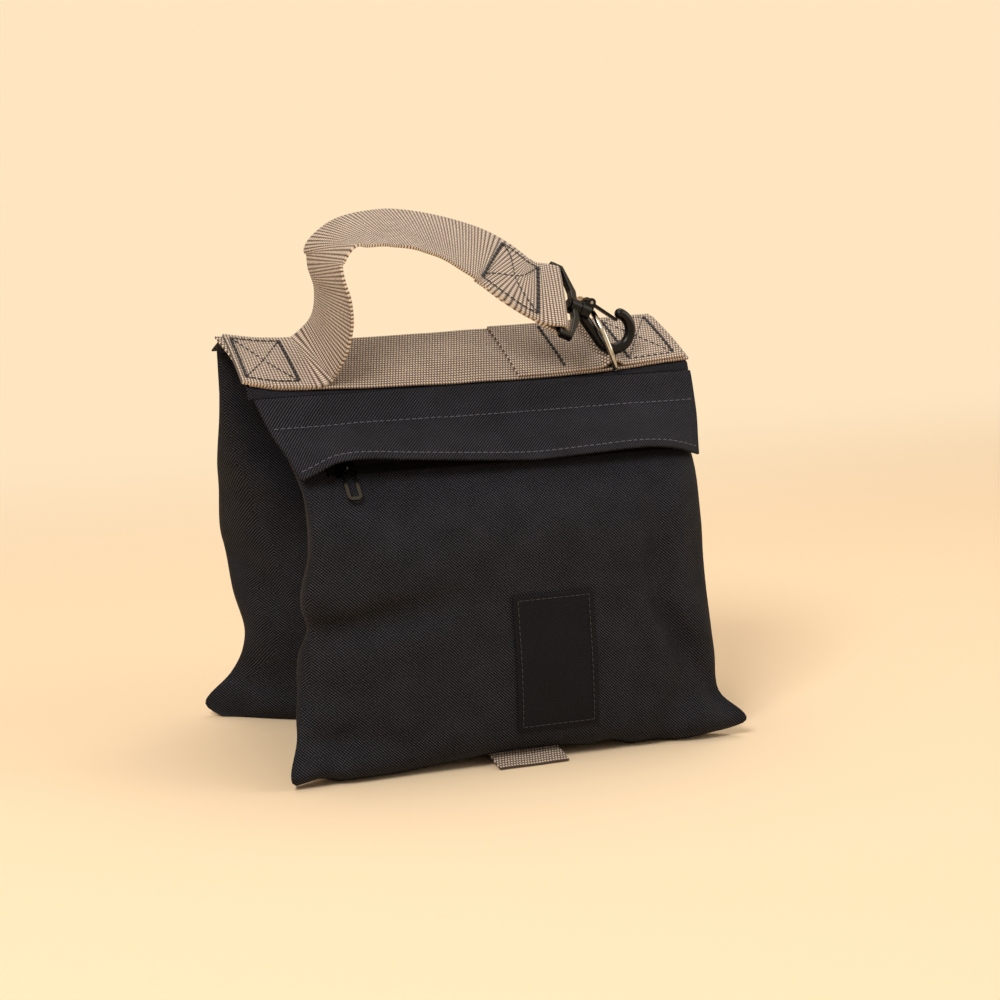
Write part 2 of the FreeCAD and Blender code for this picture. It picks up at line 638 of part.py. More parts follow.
def sides():
    front = Vector(0, -front_hinge.y, front_hinge.z)
    return Side("front", front, True), Side("back", back_hinge, False)


def pouch_shell(side):
    """The fabric bag: an outer form less its inside, with a rolled top edge and a zip slot."""
    body = doc.addObject("PartDesign::Body", side.title + "Pouch")
    prefix = side.title + "Outer"
    loft(body, "Additive", prefix, [section(body, prefix, row) for row in side.rows])
    fold = body.newObject("PartDesign::AdditiveCylinder", side.title + "TopFold")
    fold.AttachmentSupport = [(origin_plane(body, "XY_Plane"), "")]
    fold.MapMode = "FlatFace"
    fold.AttachmentOffset = Placement(Vector(-mm.neck_half, abs(side.hinge.y), side.hinge.z),
                                      Rotation(Z_AXIS, X_AXIS))
    bind(fold, Radius="dims.fold_radius", Height="2 * dims.neck_half")
    wall = size("fabric_thick")
    inner_rows = [inset(row, wall) for row in side.rows[:-1]]
    inner_rows[0]["height"] = wall
    inner_rows.append(void_top(side, wall))
    prefix = side.title + "Inside"
    loft(body, "Subtractive", prefix, [section(body, prefix, row) for row in inner_rows])
    slot = body.newObject("PartDesign::SubtractiveBox", side.title + "ZipSlot")
    slot.AttachmentSupport = [(origin_plane(body, "XY_Plane"), "")]
    slot.MapMode = "FlatFace"
    depth = 4 * mm.fabric_thick
    corner = Vector(-mm.zip_half_length, mm.zip_from_hinge - mm.slot_width / 2, -depth / 2)
    slot.AttachmentOffset = Placement(side.wall.multVec(corner), side.wall.Rotation)
    bind(slot, Length="2 * dims.zip_half_length", Width="dims.slot_width",
         Height="4 * dims.fabric_thick")
    side.seat(body, "pouch_shell")


def void_top(side, wall):
    """Where the inside of a pouch ends, a little below its rolled top edge."""
    shoulder, neck = side.rows[-2], side.rows[-1]
    drop = mm.void_top
    share = 1 - drop / (neck["height"].number - shoulder["height"].number)

    def between(key):
        a, b = shoulder[key].number, neck[key].number
        return a + share * (b - a)

    keys = ("half", "seam", "outer", "inner", "curve", "inner_curve")
    row = {key: fixed(between(key)) for key in keys}
    row.update(name="Top", height=fixed(neck["height"].number - drop))
    return inset(row, wall)


def pouch_liner(side):
    """The sealed ballast bag, a smaller pillow that fills the lower part of the pouch."""
    body = doc.addObject("PartDesign::Body", side.title + "Liner")
    gap = size("fabric_thick") + size("liner_gap")
    rows = [inset(row, gap) for row in side.rows[:4]]
    rows[0]["height"] = size("fabric_thick") + size("liner_seat")
    chest, shoulder = side.rows[3], side.rows[4]
    share = ((mm.liner_height - chest["height"].number)
             / (shoulder["height"].number - chest["height"].number))

    def between(key):
        a, b = chest[key].number, shoulder[key].number
        return a + share * (b - a)

    seam = fixed(between("seam"))
    half_thick = size("liner_top_thick") * 0.5
    rows.append(dict(name="Top", height=size("liner_height"), seam=seam, outer=seam + half_thick,
                     inner=seam - half_thick,
                     half=size("shoulder_half") - gap - gap * mm.seam_allowance,
                     curve=fixed(between("curve")), inner_curve=fixed(between("inner_curve"))))
    prefix = side.title + "Liner"
    loft(body, "Additive", prefix, [section(body, prefix, row) for row in rows])
    side.seat(body, "liner")


# ---------------------------------------------------------------- on the wall of a pouch
def wall_plate(side, name, points, thick, lift):
    """A flat piece on the wall: an outline in the wall's own X and Y, standing lift off it."""
    body = doc.addObject("PartDesign::Body", side.title + name)
    pad(body, f"{side.title}{name}Pad", flat_outline(body, f"{side.title}{name}Outline", points),
        thick, midplane=False)
    return body, side.wall.multiply(Placement(Vector(0, 0, lift), Rotation()))


def yoke(side):
    """The upper part of the flap's strip, sewn flat on the pouch above the stitch line."""
    top, length = mm.soft_gap, mm.yoke_length
    upper, lower = mm.flap_top_half + mm.yoke_flare, mm.flap_top_half
    points = [(-upper, top), (upper, top), (lower, length), (-lower, length)]
    body, place = wall_plate(side, "Yoke", points, "dims.fabric_thick", mm.tape_seat)
    side.seat(body, "yoke", place)


def flap_line(side):
    """The flap's hinge line on the wall, just below the yoke."""
    radius = mm.flap_thick / 2
    return Vector(0, mm.yoke_length + mm.soft_gap + radius, mm.soft_gap + radius)


def flap(side):
    """The free part of the strip: a hemmed sheet that hangs over the zipper."""
    upper, lower, length = mm.flap_top_half, mm.flap_hem_half, mm.flap_length
    body = doc.addObject("PartDesign::Body", side.title + "FlapSheet")
    points = [(-upper, 0), (upper, 0), (lower, length), (-lower, length)]
    pad(body, side.title + "FlapPad", flat_outline(body, side.title + "FlapOutline", points),
        "dims.flap_thick")
    roll = cylinder(side.title + "FlapRoll", "dims.flap_thick / 2", "2 * dims.flap_top_half",
                    Vector(-upper, 0, 0), X_AXIS)
    lifted = Rotation(X_AXIS, mm.flap_slope)
    place = side.wall.multiply(Placement(flap_line(side), lifted))
    if place.Rotation.multVec(Y_AXIS).dot(side.out) < 0:
        place = side.wall.multiply(Placement(flap_line(side), lifted.inverted()))
    side.seat(fuse(side.title + "Flap", [body, roll]), "flap", place)


def zipper(side):
    """Two tapes under the slot, each with its half of the coil, and a stop at each end."""
    under = tape_top(side)
    half_split = mm.tape_split / 2
    edges = {"upper": (-half_split - mm.tape_width, -half_split - mm.coil_width),
             "lower": (half_split, half_split)}
    for name, (tape_edge, coil_edge) in edges.items():
        tape = box(f"{side.title}Tape_{name}", "2 * dims.zip_half_length + dims.slot_width",
                   "dims.tape_width", "dims.tape_thick",
                   Vector(0, mm.zip_from_hinge + tape_edge, under - mm.tape_thick))
        coil = box(f"{side.title}Coil_{name}", "2 * dims.zip_half_length - dims.stop_length",
                   "dims.coil_width", "dims.coil_height",
                   Vector(0, mm.zip_from_hinge + coil_edge, under))
        side.seat(fuse(f"{side.title}Zip_{name}", [tape, coil]), f"zip_{name}", side.wall)
    stops = []
    width = 2 * mm.coil_width + mm.tape_split
    for name, sign in (("A", -1), ("B", 1)):
        start = mm.zip_half_length - mm.stop_length / 2
        at = start if sign > 0 else -start - mm.stop_length / 2 + mm.soft_gap / 2
        stop = doc.addObject("Part::Box", f"{side.title}Stop{name}")
        bind(stop, Length="dims.stop_length / 2 - dims.soft_gap / 2",
             Width="2 * dims.coil_width + dims.tape_split", Height="dims.coil_height")
        stop.Placement.Base = Vector(at, mm.zip_from_hinge - width / 2, under)
        stops.append(stop)
    group = doc.addObject("Part::Compound", side.title + "ZipStops")
    group.Links = stops
    side.seat(group, "zip_stops", side.wall)


def tape_top(side):
    """The height of the tapes' upper face: just under the wall, measured square to it."""
    return -mm.fabric_thick * abs(side.down.z) - mm.tape_seat


def slider(side):
    """The slider's upper shell, straddling the coil, with a bridge for the pull."""
    under = tape_top(side)
    coil_top = under + mm.coil_height
    inner = mm.coil_width + mm.tape_split / 2 + mm.slider_gap
    x = slider_x() - mm.slider_length / 2
    plate = doc.addObject("Part::Box", side.title + "SliderPlate")
    bind(plate, Length="dims.slider_length", Width="dims.slider_width", Height="dims.slider_plate")
    plate.Placement.Base = Vector(x, mm.zip_from_hinge - mm.slider_width / 2,
                                  coil_top + mm.slider_gap)
    parts = [plate]
    skirt_low = under + mm.slider_gap
    skirt_high = coil_top + mm.slider_gap + mm.slider_plate
    for name, sign in (("Up", -1), ("Down", 1)):
        skirt = doc.addObject("Part::Box", f"{side.title}Skirt{name}")
        skirt.setExpression("Length", "dims.slider_length")
        skirt.Width = mm.slider_width / 2 - inner
        skirt.Height = skirt_high - skirt_low
        y = mm.zip_from_hinge + (inner if sign > 0 else -mm.slider_width / 2)
        skirt.Placement.Base = Vector(x, y, skirt_low)
        parts.append(skirt)
    bridge = doc.addObject("Part::Box", side.title + "Bridge")
    bind(bridge, Length="dims.slider_length - 2 * dims.bridge_thick", Width="dims.bridge_width",
         Height="dims.bridge_height")
    base = Vector(x + mm.bridge_thick, mm.zip_from_hinge - mm.bridge_width / 2, skirt_high)
    bridge.Placement.Base = base
    gap = doc.addObject("Part::Box", side.title + "BridgeGap")
    bind(gap, Length="dims.slider_length - 5 * dims.bridge_thick", Width="2 * dims.bridge_width",
         Height="dims.bridge_height - dims.bridge_thick")
    gap.Placement.Base = base + Vector(1.5 * mm.bridge_thick, -mm.bridge_width / 2, 0)
    parts.append(cut(side.title + "BridgeLoop", bridge, gap))
    side.seat(fuse(side.title + "Slider", parts), "slider", side.wall)


def slider_x():
    """Where the closed slider stands along the zipper, in the wall's own X."""
    return mm.zip_half_length - mm.stop_length - mm.slider_length / 2 - mm.slider_rest


def bridge_bar(side):
    """The middle of the bridge's bar, on the wall: what the pull hangs on."""
    under = tape_top(side)
    plate_top = under + mm.coil_height + mm.slider_gap + mm.slider_plate
    return Vector(slider_x(), mm.zip_from_hinge,
                  plate_top + mm.bridge_height - mm.bridge_thick / 2)


def pull(side):
    """A long moulded loop, hung on the slider's bridge by a small ring."""
    half, length, bar = mm.pull_width / 2, mm.pull_length, mm.pull_frame
    start = mm.pull_ring
    body = doc.addObject("PartDesign::Body", side.title + "PullLoop")
    outer = [(-bar / 2, start), (bar / 2, start), (half, start + 2 * bar), (half, length - bar),
             (half - bar, length), (bar - half, length), (-half, length - bar),
             (-half, start + 2 * bar)]
    pad(body, side.title + "PullPad", flat_outline(body, side.title + "PullOutline", outer),
        "dims.pull_thick")
    wide, low, high = half - bar, start + 2 * bar, length - bar
    window = [(-wide, low), (wide, low), (wide, high), (-wide, high)]
    hole = body.newObject("PartDesign::Pocket", side.title + "PullWindow")
    hole.Profile = flat_outline(body, side.title + "PullWindowOutline", window)
    hole.Type = "ThroughAll"
    hole.SideType = "Symmetric"
    ring = doc.addObject("Part::Torus", side.title + "PullRing")
    bind(ring, Radius1="dims.pull_ring", Radius2="dims.pull_ring_wire")
    ring.Placement.Rotation = Rotation(Z_AXIS, X_AXIS)
    place = side.wall.multiply(Placement(bridge_bar(side), Rotation()))
    side.seat(fuse(side.title + "Pull", [body, ring]), "pull", place)


def label(side):
    """A stiff woven label lying on the outer wall, bent where the wall bends."""
    heights = [mm.label_low, mm.belly_height, mm.label_high]
    face = [Vector(0, side.wall_outer(h), h) for h in heights]
    cover = [p + Y_AXIS * mm.label_thick for p in reversed(face)]
    shift = X_AXIS * (-mm.label_shift - mm.label_width / 2)
    shape = prism([p + shift for p in face + cover], X_AXIS * mm.label_width)
    side.seat(solid(side.title + "Label", shape), "label")


def bottom_tab(side):
    """A loop of webbing caught in the pouch's bottom seam, lying on the floor."""
    tab = doc.addObject("Part::Box", side.title + "Tab")
    bind(tab, Length="dims.tab_width", Width="dims.tab_reach", Height="dims.webbing_thick")
    tab.Placement.Base = Vector(-mm.tab_shift - mm.tab_width / 2,
                                side.wall_outer(mm.webbing_thick) + mm.soft_gap, 0)
    side.seat(tab, "bottom_tab")


# ---------------------------------------------------------------- build
saddle_panel()
ridge_webbing()
handle_strap()
ring_strap()
d_ring()
snap_eye()
swivel_stud()
snap_hook()
snap_gate()
gate_pin()
for side in sides():
    for make in (pouch_shell, pouch_liner, yoke, flap, zipper, slider, pull):
        make(side)
    if side.name == "front":
        label(side)
        bottom_tab(side)
doc.recompute()

failed = [o.Name for o in doc.Objects if {"Invalid", "Error"} & set(o.State)]
if failed:
    raise SystemExit(f"failed objects: {failed}")
for node in nodes:
    if node.Shape.isNull() or not node.Shape.isValid():
        raise SystemExit(f"bad shape: {node.Label}")

os.makedirs("parts", exist_ok=True)
for node in nodes:
    node.Shape.exportStep(f"parts/{node.Label}.step")
    print(node.Label, "solids", len(node.Shape.Solids), "volume", round(node.Shape.Volume, 1))
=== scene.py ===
# %% [markdown]
# # A saddle sandbag, dressed piece by piece
# Two pouches of coated nylon hang from a ridge of tan webbing, and each holds a sealed bag of sand.
# A webbing handle is sewn down at the left, arches over, and clips to a D-ring with a snap hook.
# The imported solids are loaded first. Most cloth is drawn from tables of measures that follow them.

import math

import bmesh
import bpy
import numpy as np
from mathutils import Matrix, Vector, noise
from mathutils.bvhtree import BVHTree


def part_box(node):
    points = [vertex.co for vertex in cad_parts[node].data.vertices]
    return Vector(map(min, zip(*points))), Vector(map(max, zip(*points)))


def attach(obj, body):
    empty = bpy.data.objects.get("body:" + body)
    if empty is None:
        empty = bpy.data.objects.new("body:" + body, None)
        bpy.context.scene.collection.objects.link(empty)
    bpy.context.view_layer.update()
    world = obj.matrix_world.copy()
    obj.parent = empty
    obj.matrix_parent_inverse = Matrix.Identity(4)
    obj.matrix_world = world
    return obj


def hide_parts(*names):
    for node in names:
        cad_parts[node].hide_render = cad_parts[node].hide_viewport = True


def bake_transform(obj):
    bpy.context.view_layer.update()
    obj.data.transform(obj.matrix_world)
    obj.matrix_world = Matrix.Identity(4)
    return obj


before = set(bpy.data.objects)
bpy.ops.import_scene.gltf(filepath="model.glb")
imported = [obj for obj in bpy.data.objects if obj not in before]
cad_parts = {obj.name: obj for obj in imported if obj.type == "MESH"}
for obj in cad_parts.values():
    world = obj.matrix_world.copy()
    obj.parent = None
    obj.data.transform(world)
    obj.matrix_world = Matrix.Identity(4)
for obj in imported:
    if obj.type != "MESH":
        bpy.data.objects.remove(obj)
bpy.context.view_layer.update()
MM = 0.001

# %% [markdown]
# ## Camera
# The bag is seen from the front and a little from its left, from just above the ridge. A long lens
# a good metre away keeps the ridge and the floor lines nearly parallel, so the shape reads truly.

# %% Camera
AZIMUTH, ELEVATION, ROLL = (math.radians(a) for a in (-22.0, 11.0, -0.9))
back = Vector((math.sin(AZIMUTH) * math.cos(ELEVATION), -math.cos(AZIMUTH) * math.cos(ELEVATION),
               math.sin(ELEVATION)))
level = Vector((math.cos(AZIMUTH), math.sin(AZIMUTH), 0))
upright = back.cross(level)
right = level * math.cos(ROLL) + upright * math.sin(ROLL)
up = upright * math.cos(ROLL) - level * math.sin(ROLL)
camera_data = bpy.data.cameras.new("camera")
camera_data.lens, camera_data.sensor_width = 84.5, 36.0
camera_data.shift_x, camera_data.shift_y = 0.036, 0.033
camera = bpy.data.objects.new("camera", camera_data)
bpy.context.collection.objects.link(camera)
camera.matrix_world = Matrix((
    (right.x, up.x, back.x, back.x * 1.3),
    (right.y, up.y, back.y, back.y * 1.3),
    (right.z, up.z, back.z, back.z * 1.3 + 0.110),
    (0, 0, 0, 1),
))
bpy.context.scene.camera = camera
bpy.context.scene.view_settings.view_transform = "Standard"
print("camera stands at", [round(c, 3) for c in camera.location])

# %% [markdown]
# ## Nodes and colours
# Every colour is written as the hex value that it shows on a screen, and one function turns it to
# linear light. One small function adds a node, sets it up and links what feeds it.

# %% Helpers for materials
def linear(code):
    """A screen colour such as '2b2a2c' as linear RGBA."""
    parts = [int(code[i:i + 2], 16) / 255 for i in (0, 2, 4)]
    return [c / 12.92 if c <= 0.04045 else ((c + 0.055) / 1.055) ** 2.4 for c in parts] + [1.0]


def add(tree, kind, inputs=None, **settings):
    """Add a node, set its settings, and give each input a value or link it to another socket."""
    node = tree.nodes.new(kind)
    for name, value in settings.items():
        setattr(node, name, value)
    for key, value in (inputs or {}).items():
        if isinstance(value, bpy.types.NodeSocket):
            tree.links.new(value, node.inputs[key])
        else:
            node.inputs[key].default_value = value
    return node


def start_material(name, **surface):
    """A new material with its main shader set, and the tree to add a pattern to."""
    material = bpy.data.materials.new(name)
    material.use_nodes = True
    tree = material.node_tree
    shader = tree.nodes["Principled BSDF"]
    for key, value in surface.items():
        shader.inputs[key.replace("_", " ")].default_value = value
    return material, tree, shader


def ramp(tree, factor, stops):
    """A colour ramp through (place, hex) stops."""
    node = add(tree, "ShaderNodeValToRGB", {"Fac": factor})
    while len(node.color_ramp.elements) < len(stops):
        node.color_ramp.elements.new(0.5)
    for element, (place, code) in zip(node.color_ramp.elements, stops):
        element.position, element.color = place, linear(code)
    return node.outputs["Color"]


def math_node(tree, operation, first, second=0.0):
    return add(tree, "ShaderNodeMath", {0: first, 1: second}, operation=operation).outputs[0]


# %% [markdown]
# ## Coated nylon
# The pouches are 1000-denier nylon: fat, textured yarns in a plain weave with a rubbery coating
# behind. It is dull, almost black with a violet tinge, and its yarns catch the light in short
# diagonal ticks. That light is painted into the colour: the yarn crests are painted lighter as
# highlight and the gaps between them darker as shade. The real yarns are 0.8 mm apart, too fine
# to show, so they are drawn 1.7 mm apart.

# %% Coated nylon
YARN = 1.7 * MM


def woven(tree, pitch):
    """Two crossing sets of ticks along the diagonals of the cloth, read from its UV in metres."""
    flat = add(tree, "ShaderNodeUVMap", uv_map="UVMap").outputs["UV"]
    split = add(tree, "ShaderNodeSeparateXYZ", {0: flat})
    across, along = split.outputs[0], split.outputs[1]
    waves = []
    for mixed in ("ADD", "SUBTRACT"):
        turn = math_node(tree, "MULTIPLY", math_node(tree, mixed, across, along), math.tau / pitch)
        waves.append(math_node(tree, "SINE", turn))
    crossing = math_node(tree, "MULTIPLY", waves[1], 0.35)
    return flat, math_node(tree, "ADD", waves[0], crossing)


def coated_nylon(name, low, middle, high):
    material, tree, shader = start_material(name, Roughness=0.7, Specular_IOR_Level=0.08)
    flat, height = woven(tree, YARN)
    cloudy = add(tree, "ShaderNodeTexNoise", {"Vector": flat, "Scale": 60.0, "Detail": 3.0})
    grain = add(tree, "ShaderNodeTexNoise", {"Vector": flat, "Scale": 900.0, "Detail": 2.0})
    # the weave's height paints highlight on the yarn crests and shade in the gaps between them; the
    # cloudy and fine grain tones are the cloth's own unevenness
    yarn_highlight_and_shade = add(tree, "ShaderNodeMath", {0: height, 1: 0.28, 2: 0.17},
                 operation="MULTIPLY_ADD").outputs[0]
    tone = math_node(tree, "ADD", yarn_highlight_and_shade, math_node(tree, "MULTIPLY", cloudy.outputs[0], 0.2))
    tone = math_node(tree, "ADD", tone, math_node(tree, "MULTIPLY", grain.outputs[0], 0.4))
    colour = ramp(tree, tone, [(0.22, low), (0.5, middle), (0.82, high)])
    tree.links.new(colour, shader.inputs["Base Color"])
    bumped = math_node(tree, "ADD", height, math_node(tree, "MULTIPLY", grain.outputs[0], 1.2))
    bump = add(tree, "ShaderNodeBump", {"Height": bumped, "Strength": 0.35, "Distance": 0.15 * MM})
    tree.links.new(bump.outputs["Normal"], shader.inputs["Normal"])
    return material


# the darkest stop is painted shade in the weave's gaps, the lightest is painted highlight on its
# crests
NYLON = coated_nylon("coated nylon", "020203", "121216", "3f3f46")

# %% [markdown]
# ## Webbing
# Two-inch nylon webbing: rows of plump knots, each a bundle of sand-coloured filaments. The
# gaps between them are painted dark as shade and the knot tops painted pale as highlight. The
# knots are 2.1 mm apart across the band, 1.6 mm along it, in a brick pattern.
# On the handle the knots stand in line and read as ribs, so its weave has no brick shift.

# %% Webbing
def ribbed_webbing(name, across_pitch, along_pitch, powers, brick=0.5):
    """Knots in rows; a low power makes the gaps thin across the band or along it."""
    material, tree, shader = start_material(name, Roughness=0.6, Sheen_Weight=0.2)
    flat = add(tree, "ShaderNodeUVMap", uv_map="UVMap").outputs["UV"]
    split = add(tree, "ShaderNodeSeparateXYZ", {0: flat})
    column = math_node(tree, "DIVIDE", split.outputs[0], across_pitch)
    row = math_node(tree, "DIVIDE", split.outputs[1], along_pitch)
    shift = math_node(tree, "MULTIPLY", math_node(tree, "FLOOR", column), brick)
    row = math_node(tree, "ADD", row, shift)
    swells = []
    for place, power in zip((column, row), powers):
        wave = math_node(tree, "SINE", math_node(tree, "MULTIPLY", place, math.pi))
        wave = math_node(tree, "ABSOLUTE", wave)
        swells.append(math_node(tree, "POWER", wave, power))
    knot = math_node(tree, "MULTIPLY", *swells)
    fibre = add(tree, "ShaderNodeTexNoise", {"Vector": flat, "Scale": 1600.0, "Detail": 2.0})
    patch = add(tree, "ShaderNodeTexNoise", {"Vector": flat, "Scale": 45.0, "Detail": 2.0})
    # the knot height paints shade in the gaps and highlight on the knot tops; the fibre and patch
    # noise are the webbing's own uneven tone
    tone = math_node(tree, "ADD", math_node(tree, "MULTIPLY", knot, 0.8),
                     math_node(tree, "MULTIPLY", fibre.outputs[0], 0.22))
    tone = math_node(tree, "ADD", tone, math_node(tree, "MULTIPLY", patch.outputs[0], 0.12))
    colour = ramp(tree, tone, [(0.34, "2e2119"), (0.62, "ab8f77"), (0.98, "e8d5be")])
    tree.links.new(colour, shader.inputs["Base Color"])
    bump = add(tree, "ShaderNodeBump", {"Height": knot, "Strength": 0.7, "Distance": 0.45 * MM})
    tree.links.new(bump.outputs["Normal"], shader.inputs["Normal"])
    return material


WEBBING = ribbed_webbing("sand nylon webbing", 2.1 * MM, 1.6 * MM, (0.8, 0.9))
RIBBED = ribbed_webbing("sand nylon webbing, ribbed", 1.7 * MM, 1.7 * MM, (0.7, 0.85), 0.0)

# %% [markdown]
# ## Thread, satin, moulded plastic and metal
# Bonded thread is a little glossy. Satin ribbon shines softly. The pull is moulded plastic with a
# high gloss, the snap hook is cast metal under black enamel, and the ring is nickel-plated wire.

# %% Smaller finishes
def twisted_thread(name, code):
    material, tree, shader = start_material(name, Roughness=0.5)
    place = add(tree, "ShaderNodeTexCoord").outputs["Object"]
    ply = add(tree, "ShaderNodeTexNoise", {"Vector": place, "Scale": 2500.0})
    colour = add(tree, "ShaderNodeMix", {0: ply.outputs[0], 6: linear(code)}, data_type="RGBA",
                 blend_type="MIX")
    colour.inputs[7].default_value = [c * 1.7 for c in linear(code)[:3]] + [1.0]
    tree.links.new(colour.outputs[2], shader.inputs["Base Color"])
    return material


def smooth_finish(name, low, high, scale, depth, **surface):
    """A hard finish with a faint unevenness in its colour, its gloss and its surface."""
    material, tree, shader = start_material(name, **surface)
    place = add(tree, "ShaderNodeTexCoord").outputs["Object"]
    uneven = add(tree, "ShaderNodeTexNoise", {"Vector": place, "Scale": scale, "Detail": 4.0})
    tree.links.new(ramp(tree, uneven.outputs[0], [(0.3, low), (0.75, high)]),
                   shader.inputs["Base Color"])
    gloss = surface["Roughness"]
    spread = add(tree, "ShaderNodeMapRange", {"Value": uneven.outputs[0], 3: gloss * 0.8,
                                              4: gloss * 1.25})
    tree.links.new(spread.outputs[0], shader.inputs["Roughness"])
    bump = add(tree, "ShaderNodeBump", {"Height": uneven.outputs[0], "Strength": 0.25,
                                        "Distance": depth})
    tree.links.new(bump.outputs["Normal"], shader.inputs["Normal"])
    return material


FLAP_THREAD = twisted_thread("slate bonded thread", "3f3f4b")
DARK_THREAD = twisted_thread("black bonded thread", "14141a")
GLOSS_PLASTIC = smooth_finish("moulded acetal, black", "060607", "0d0d0e", 400.0, 0.02 * MM,
                              Roughness=0.16, Specular_IOR_Level=0.6)
ENAMEL = smooth_finish("black enamel on cast metal", "020203", "070708", 700.0, 0.05 * MM,
                       Roughness=0.26, Specular_IOR_Level=0.22)
NICKEL = smooth_finish("nickel plate", "a8a49c", "cfcac0", 300.0, 0.02 * MM, Roughness=0.14,
                       Metallic=1.0)
STEEL = smooth_finish("steel pin", "8a8a8a", "b0b0b0", 500.0, 0.02 * MM, Roughness=0.3,
                      Metallic=1.0)
# the satin and the zip tape use the same weave, with its painted highlight on the crests and painted
# shade in the gaps
SATIN = coated_nylon("satin ribbon", "0a0a0d", "111115", "1b1b21")
SATIN.node_tree.nodes["Principled BSDF"].inputs["Roughness"].default_value = 0.5
ZIP_TAPE = coated_nylon("zip tape", "060607", "0e0e10", "1a1a1d")
print("finishes:", len(bpy.data.materials))

# %% [markdown]
# ## Laying cloth on a grid
# Flat cloth starts as Blender's own grid. Each of its points knows how far it is across and along
# the cloth, and a small function says where that spot lies in space. The UV keeps the flat size in
# metres, so a weave has the same scale on every piece.

# %% Helpers for cloth
def deselect():
    bpy.ops.object.select_all(action="DESELECT")


def apply_modifier(piece, kind, **settings):
    """Add a modifier with its settings and apply it at once."""
    deselect()
    bpy.context.view_layer.objects.active = piece
    piece.select_set(True)
    modifier = piece.modifiers.new(kind.title(), kind)
    for name, value in settings.items():
        setattr(modifier, name, value)
    bpy.ops.object.modifier_apply(modifier=modifier.name)


def lay_cloth(name, width, length, columns, rows, place):
    """A grid of cloth whose point at (across, along), each 0 to 1, is put at place(...)."""
    deselect()
    bpy.ops.mesh.primitive_grid_add(x_subdivisions=columns, y_subdivisions=rows, size=1,
                                    calc_uvs=True)
    piece = bpy.context.active_object
    piece.name = piece.data.name = name
    for vertex in piece.data.vertices:
        vertex.co = place(vertex.co.x + 0.5, vertex.co.y + 0.5)
    for corner in piece.data.uv_layers["UVMap"].data:
        corner.uv = (corner.uv[0] * width, corner.uv[1] * length)
    return piece


def finish_cloth(piece, thick, even=True):
    """Give laid cloth its thickness, evenly on both sides, and soften its cut edges."""
    apply_modifier(piece, "SOLIDIFY", thickness=thick, offset=0.0, use_even_offset=even)
    apply_modifier(piece, "BEVEL", width=thick * 0.35, segments=2, limit_method="ANGLE",
                   angle_limit=math.radians(50))
    piece.data.shade_smooth()


def dress(piece, material, body=None, instead_of=()):
    """Give a piece its finish, the body that it rides on and the solids it stands for."""
    piece.data.materials.clear()
    piece.data.materials.append(material)
    if body:
        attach(piece, body)
    if instead_of:
        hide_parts(*instead_of)


def through(table, at):
    """A smooth curve through rows of numbers, read at the first column."""
    table = np.asarray(table, float)
    xs = table[:, 0]
    at = min(max(at, xs[0]), xs[-1])
    i = int(min(max(np.searchsorted(xs, at) - 1, 0), len(xs) - 2))

    def slope(j):
        lo, hi = max(j - 1, 0), min(j + 1, len(xs) - 1)
        return (table[hi, 1:] - table[lo, 1:]) / (xs[hi] - xs[lo])

    gap = xs[i + 1] - xs[i]
    t = (at - xs[i]) / gap
    a, b = table[i, 1:], table[i + 1, 1:]
    return ((2 * t**3 - 3 * t**2 + 1) * a + (t**3 - 2 * t**2 + t) * gap * slope(i)
            + (3 * t**2 - 2 * t**3) * b + (t**3 - t**2) * gap * slope(i + 1))


# %% [markdown]
# ## The two pouches
# Each pouch is a pillow: two walls sewn together at the sides, folded at the foot, and meeting in
# a thin edge at the ridge. Its level sections are lenses, blunt high up and long and pinched at
# the foot, where the corners stand out like ears. The tables give these sections from the floor up.

# %% Sections of the pouches
# height, outer wall, inner wall, left seam, right seam, left half width, right half width
FRONT_ROWS = [
    (0, 74, 40, 72, 78, 126, 124), (5, 82, 30, 82, 87, 131, 132), (12, 86, 24, 78, 86, 130, 131),
    (25, 88, 21, 68, 78, 122, 119), (50, 88, 19, 58, 74, 118, 115), (75, 86, 20, 60, 73, 116, 114),
    (98, 84, 23, 69, 68, 116, 114), (119, 82, 28, 73, 65, 114, 114),
    (135, 76, 33, 71, 61, 113, 114), (150, 65, 39, 63, 56, 113, 114),
    (170, 47.5, 33, 44, 40, 117, 116), (194.6, 26.2, 23.8, 25, 25, 124, 124),
]
BACK_ROWS = [
    (0, 76, 36, 76, 76, 122, 121), (5, 84, 28, 84, 84, 130, 127), (12, 88, 23, 82, 82, 128, 126),
    (25, 88, 21, 78, 78, 115, 120), (50, 88, 19, 68, 68, 108, 115), (75, 87, 20, 76, 70, 113, 114),
    (98, 85, 23, 84, 72, 116, 114), (119, 82, 28, 80, 70, 118, 114),
    (135, 77, 33, 74, 66, 120, 114), (150, 66.5, 39, 66, 60, 123, 116),
    (180, 55, 41, 49, 49, 125, 119), (213.7, 43.2, 40.6, 42, 42, 126, 124),
]
# how far each foot stands off the floor along x, in millimetres
FRONT_LIFT = [(-131, 0), (-112, 2.5), (-100, 0), (-72, 0), (-38, 3.2), (-8, 5.2), (25, 4),
              (41, 2.6), (54, 4.4), (63, 0.6), (75, 0), (101, 1.2), (124, 3), (132, 4)]
BACK_LIFT = [(-130, 0), (130, 0)]
# how sharply a section narrows to its seams, and how much of it is flat, by height
PINCH = [(0, 1.3), (12, 1.25), (30, 0.85), (60, 0.7), (150, 0.6)]
FLAT = [(0, 0.3), (30, 0.3), (60, 0.42), (110, 0.5), (150, 0.86)]
AROUND, UP_STEP = 48, 4.5


def bulge(share, flat, power):
    """How full a section is, from 1 on its flat middle to 0 at the side seam."""
    outside = min(max((share - flat) / (1 - flat), 0.0), 1.0)
    return (1 - outside**2) ** power


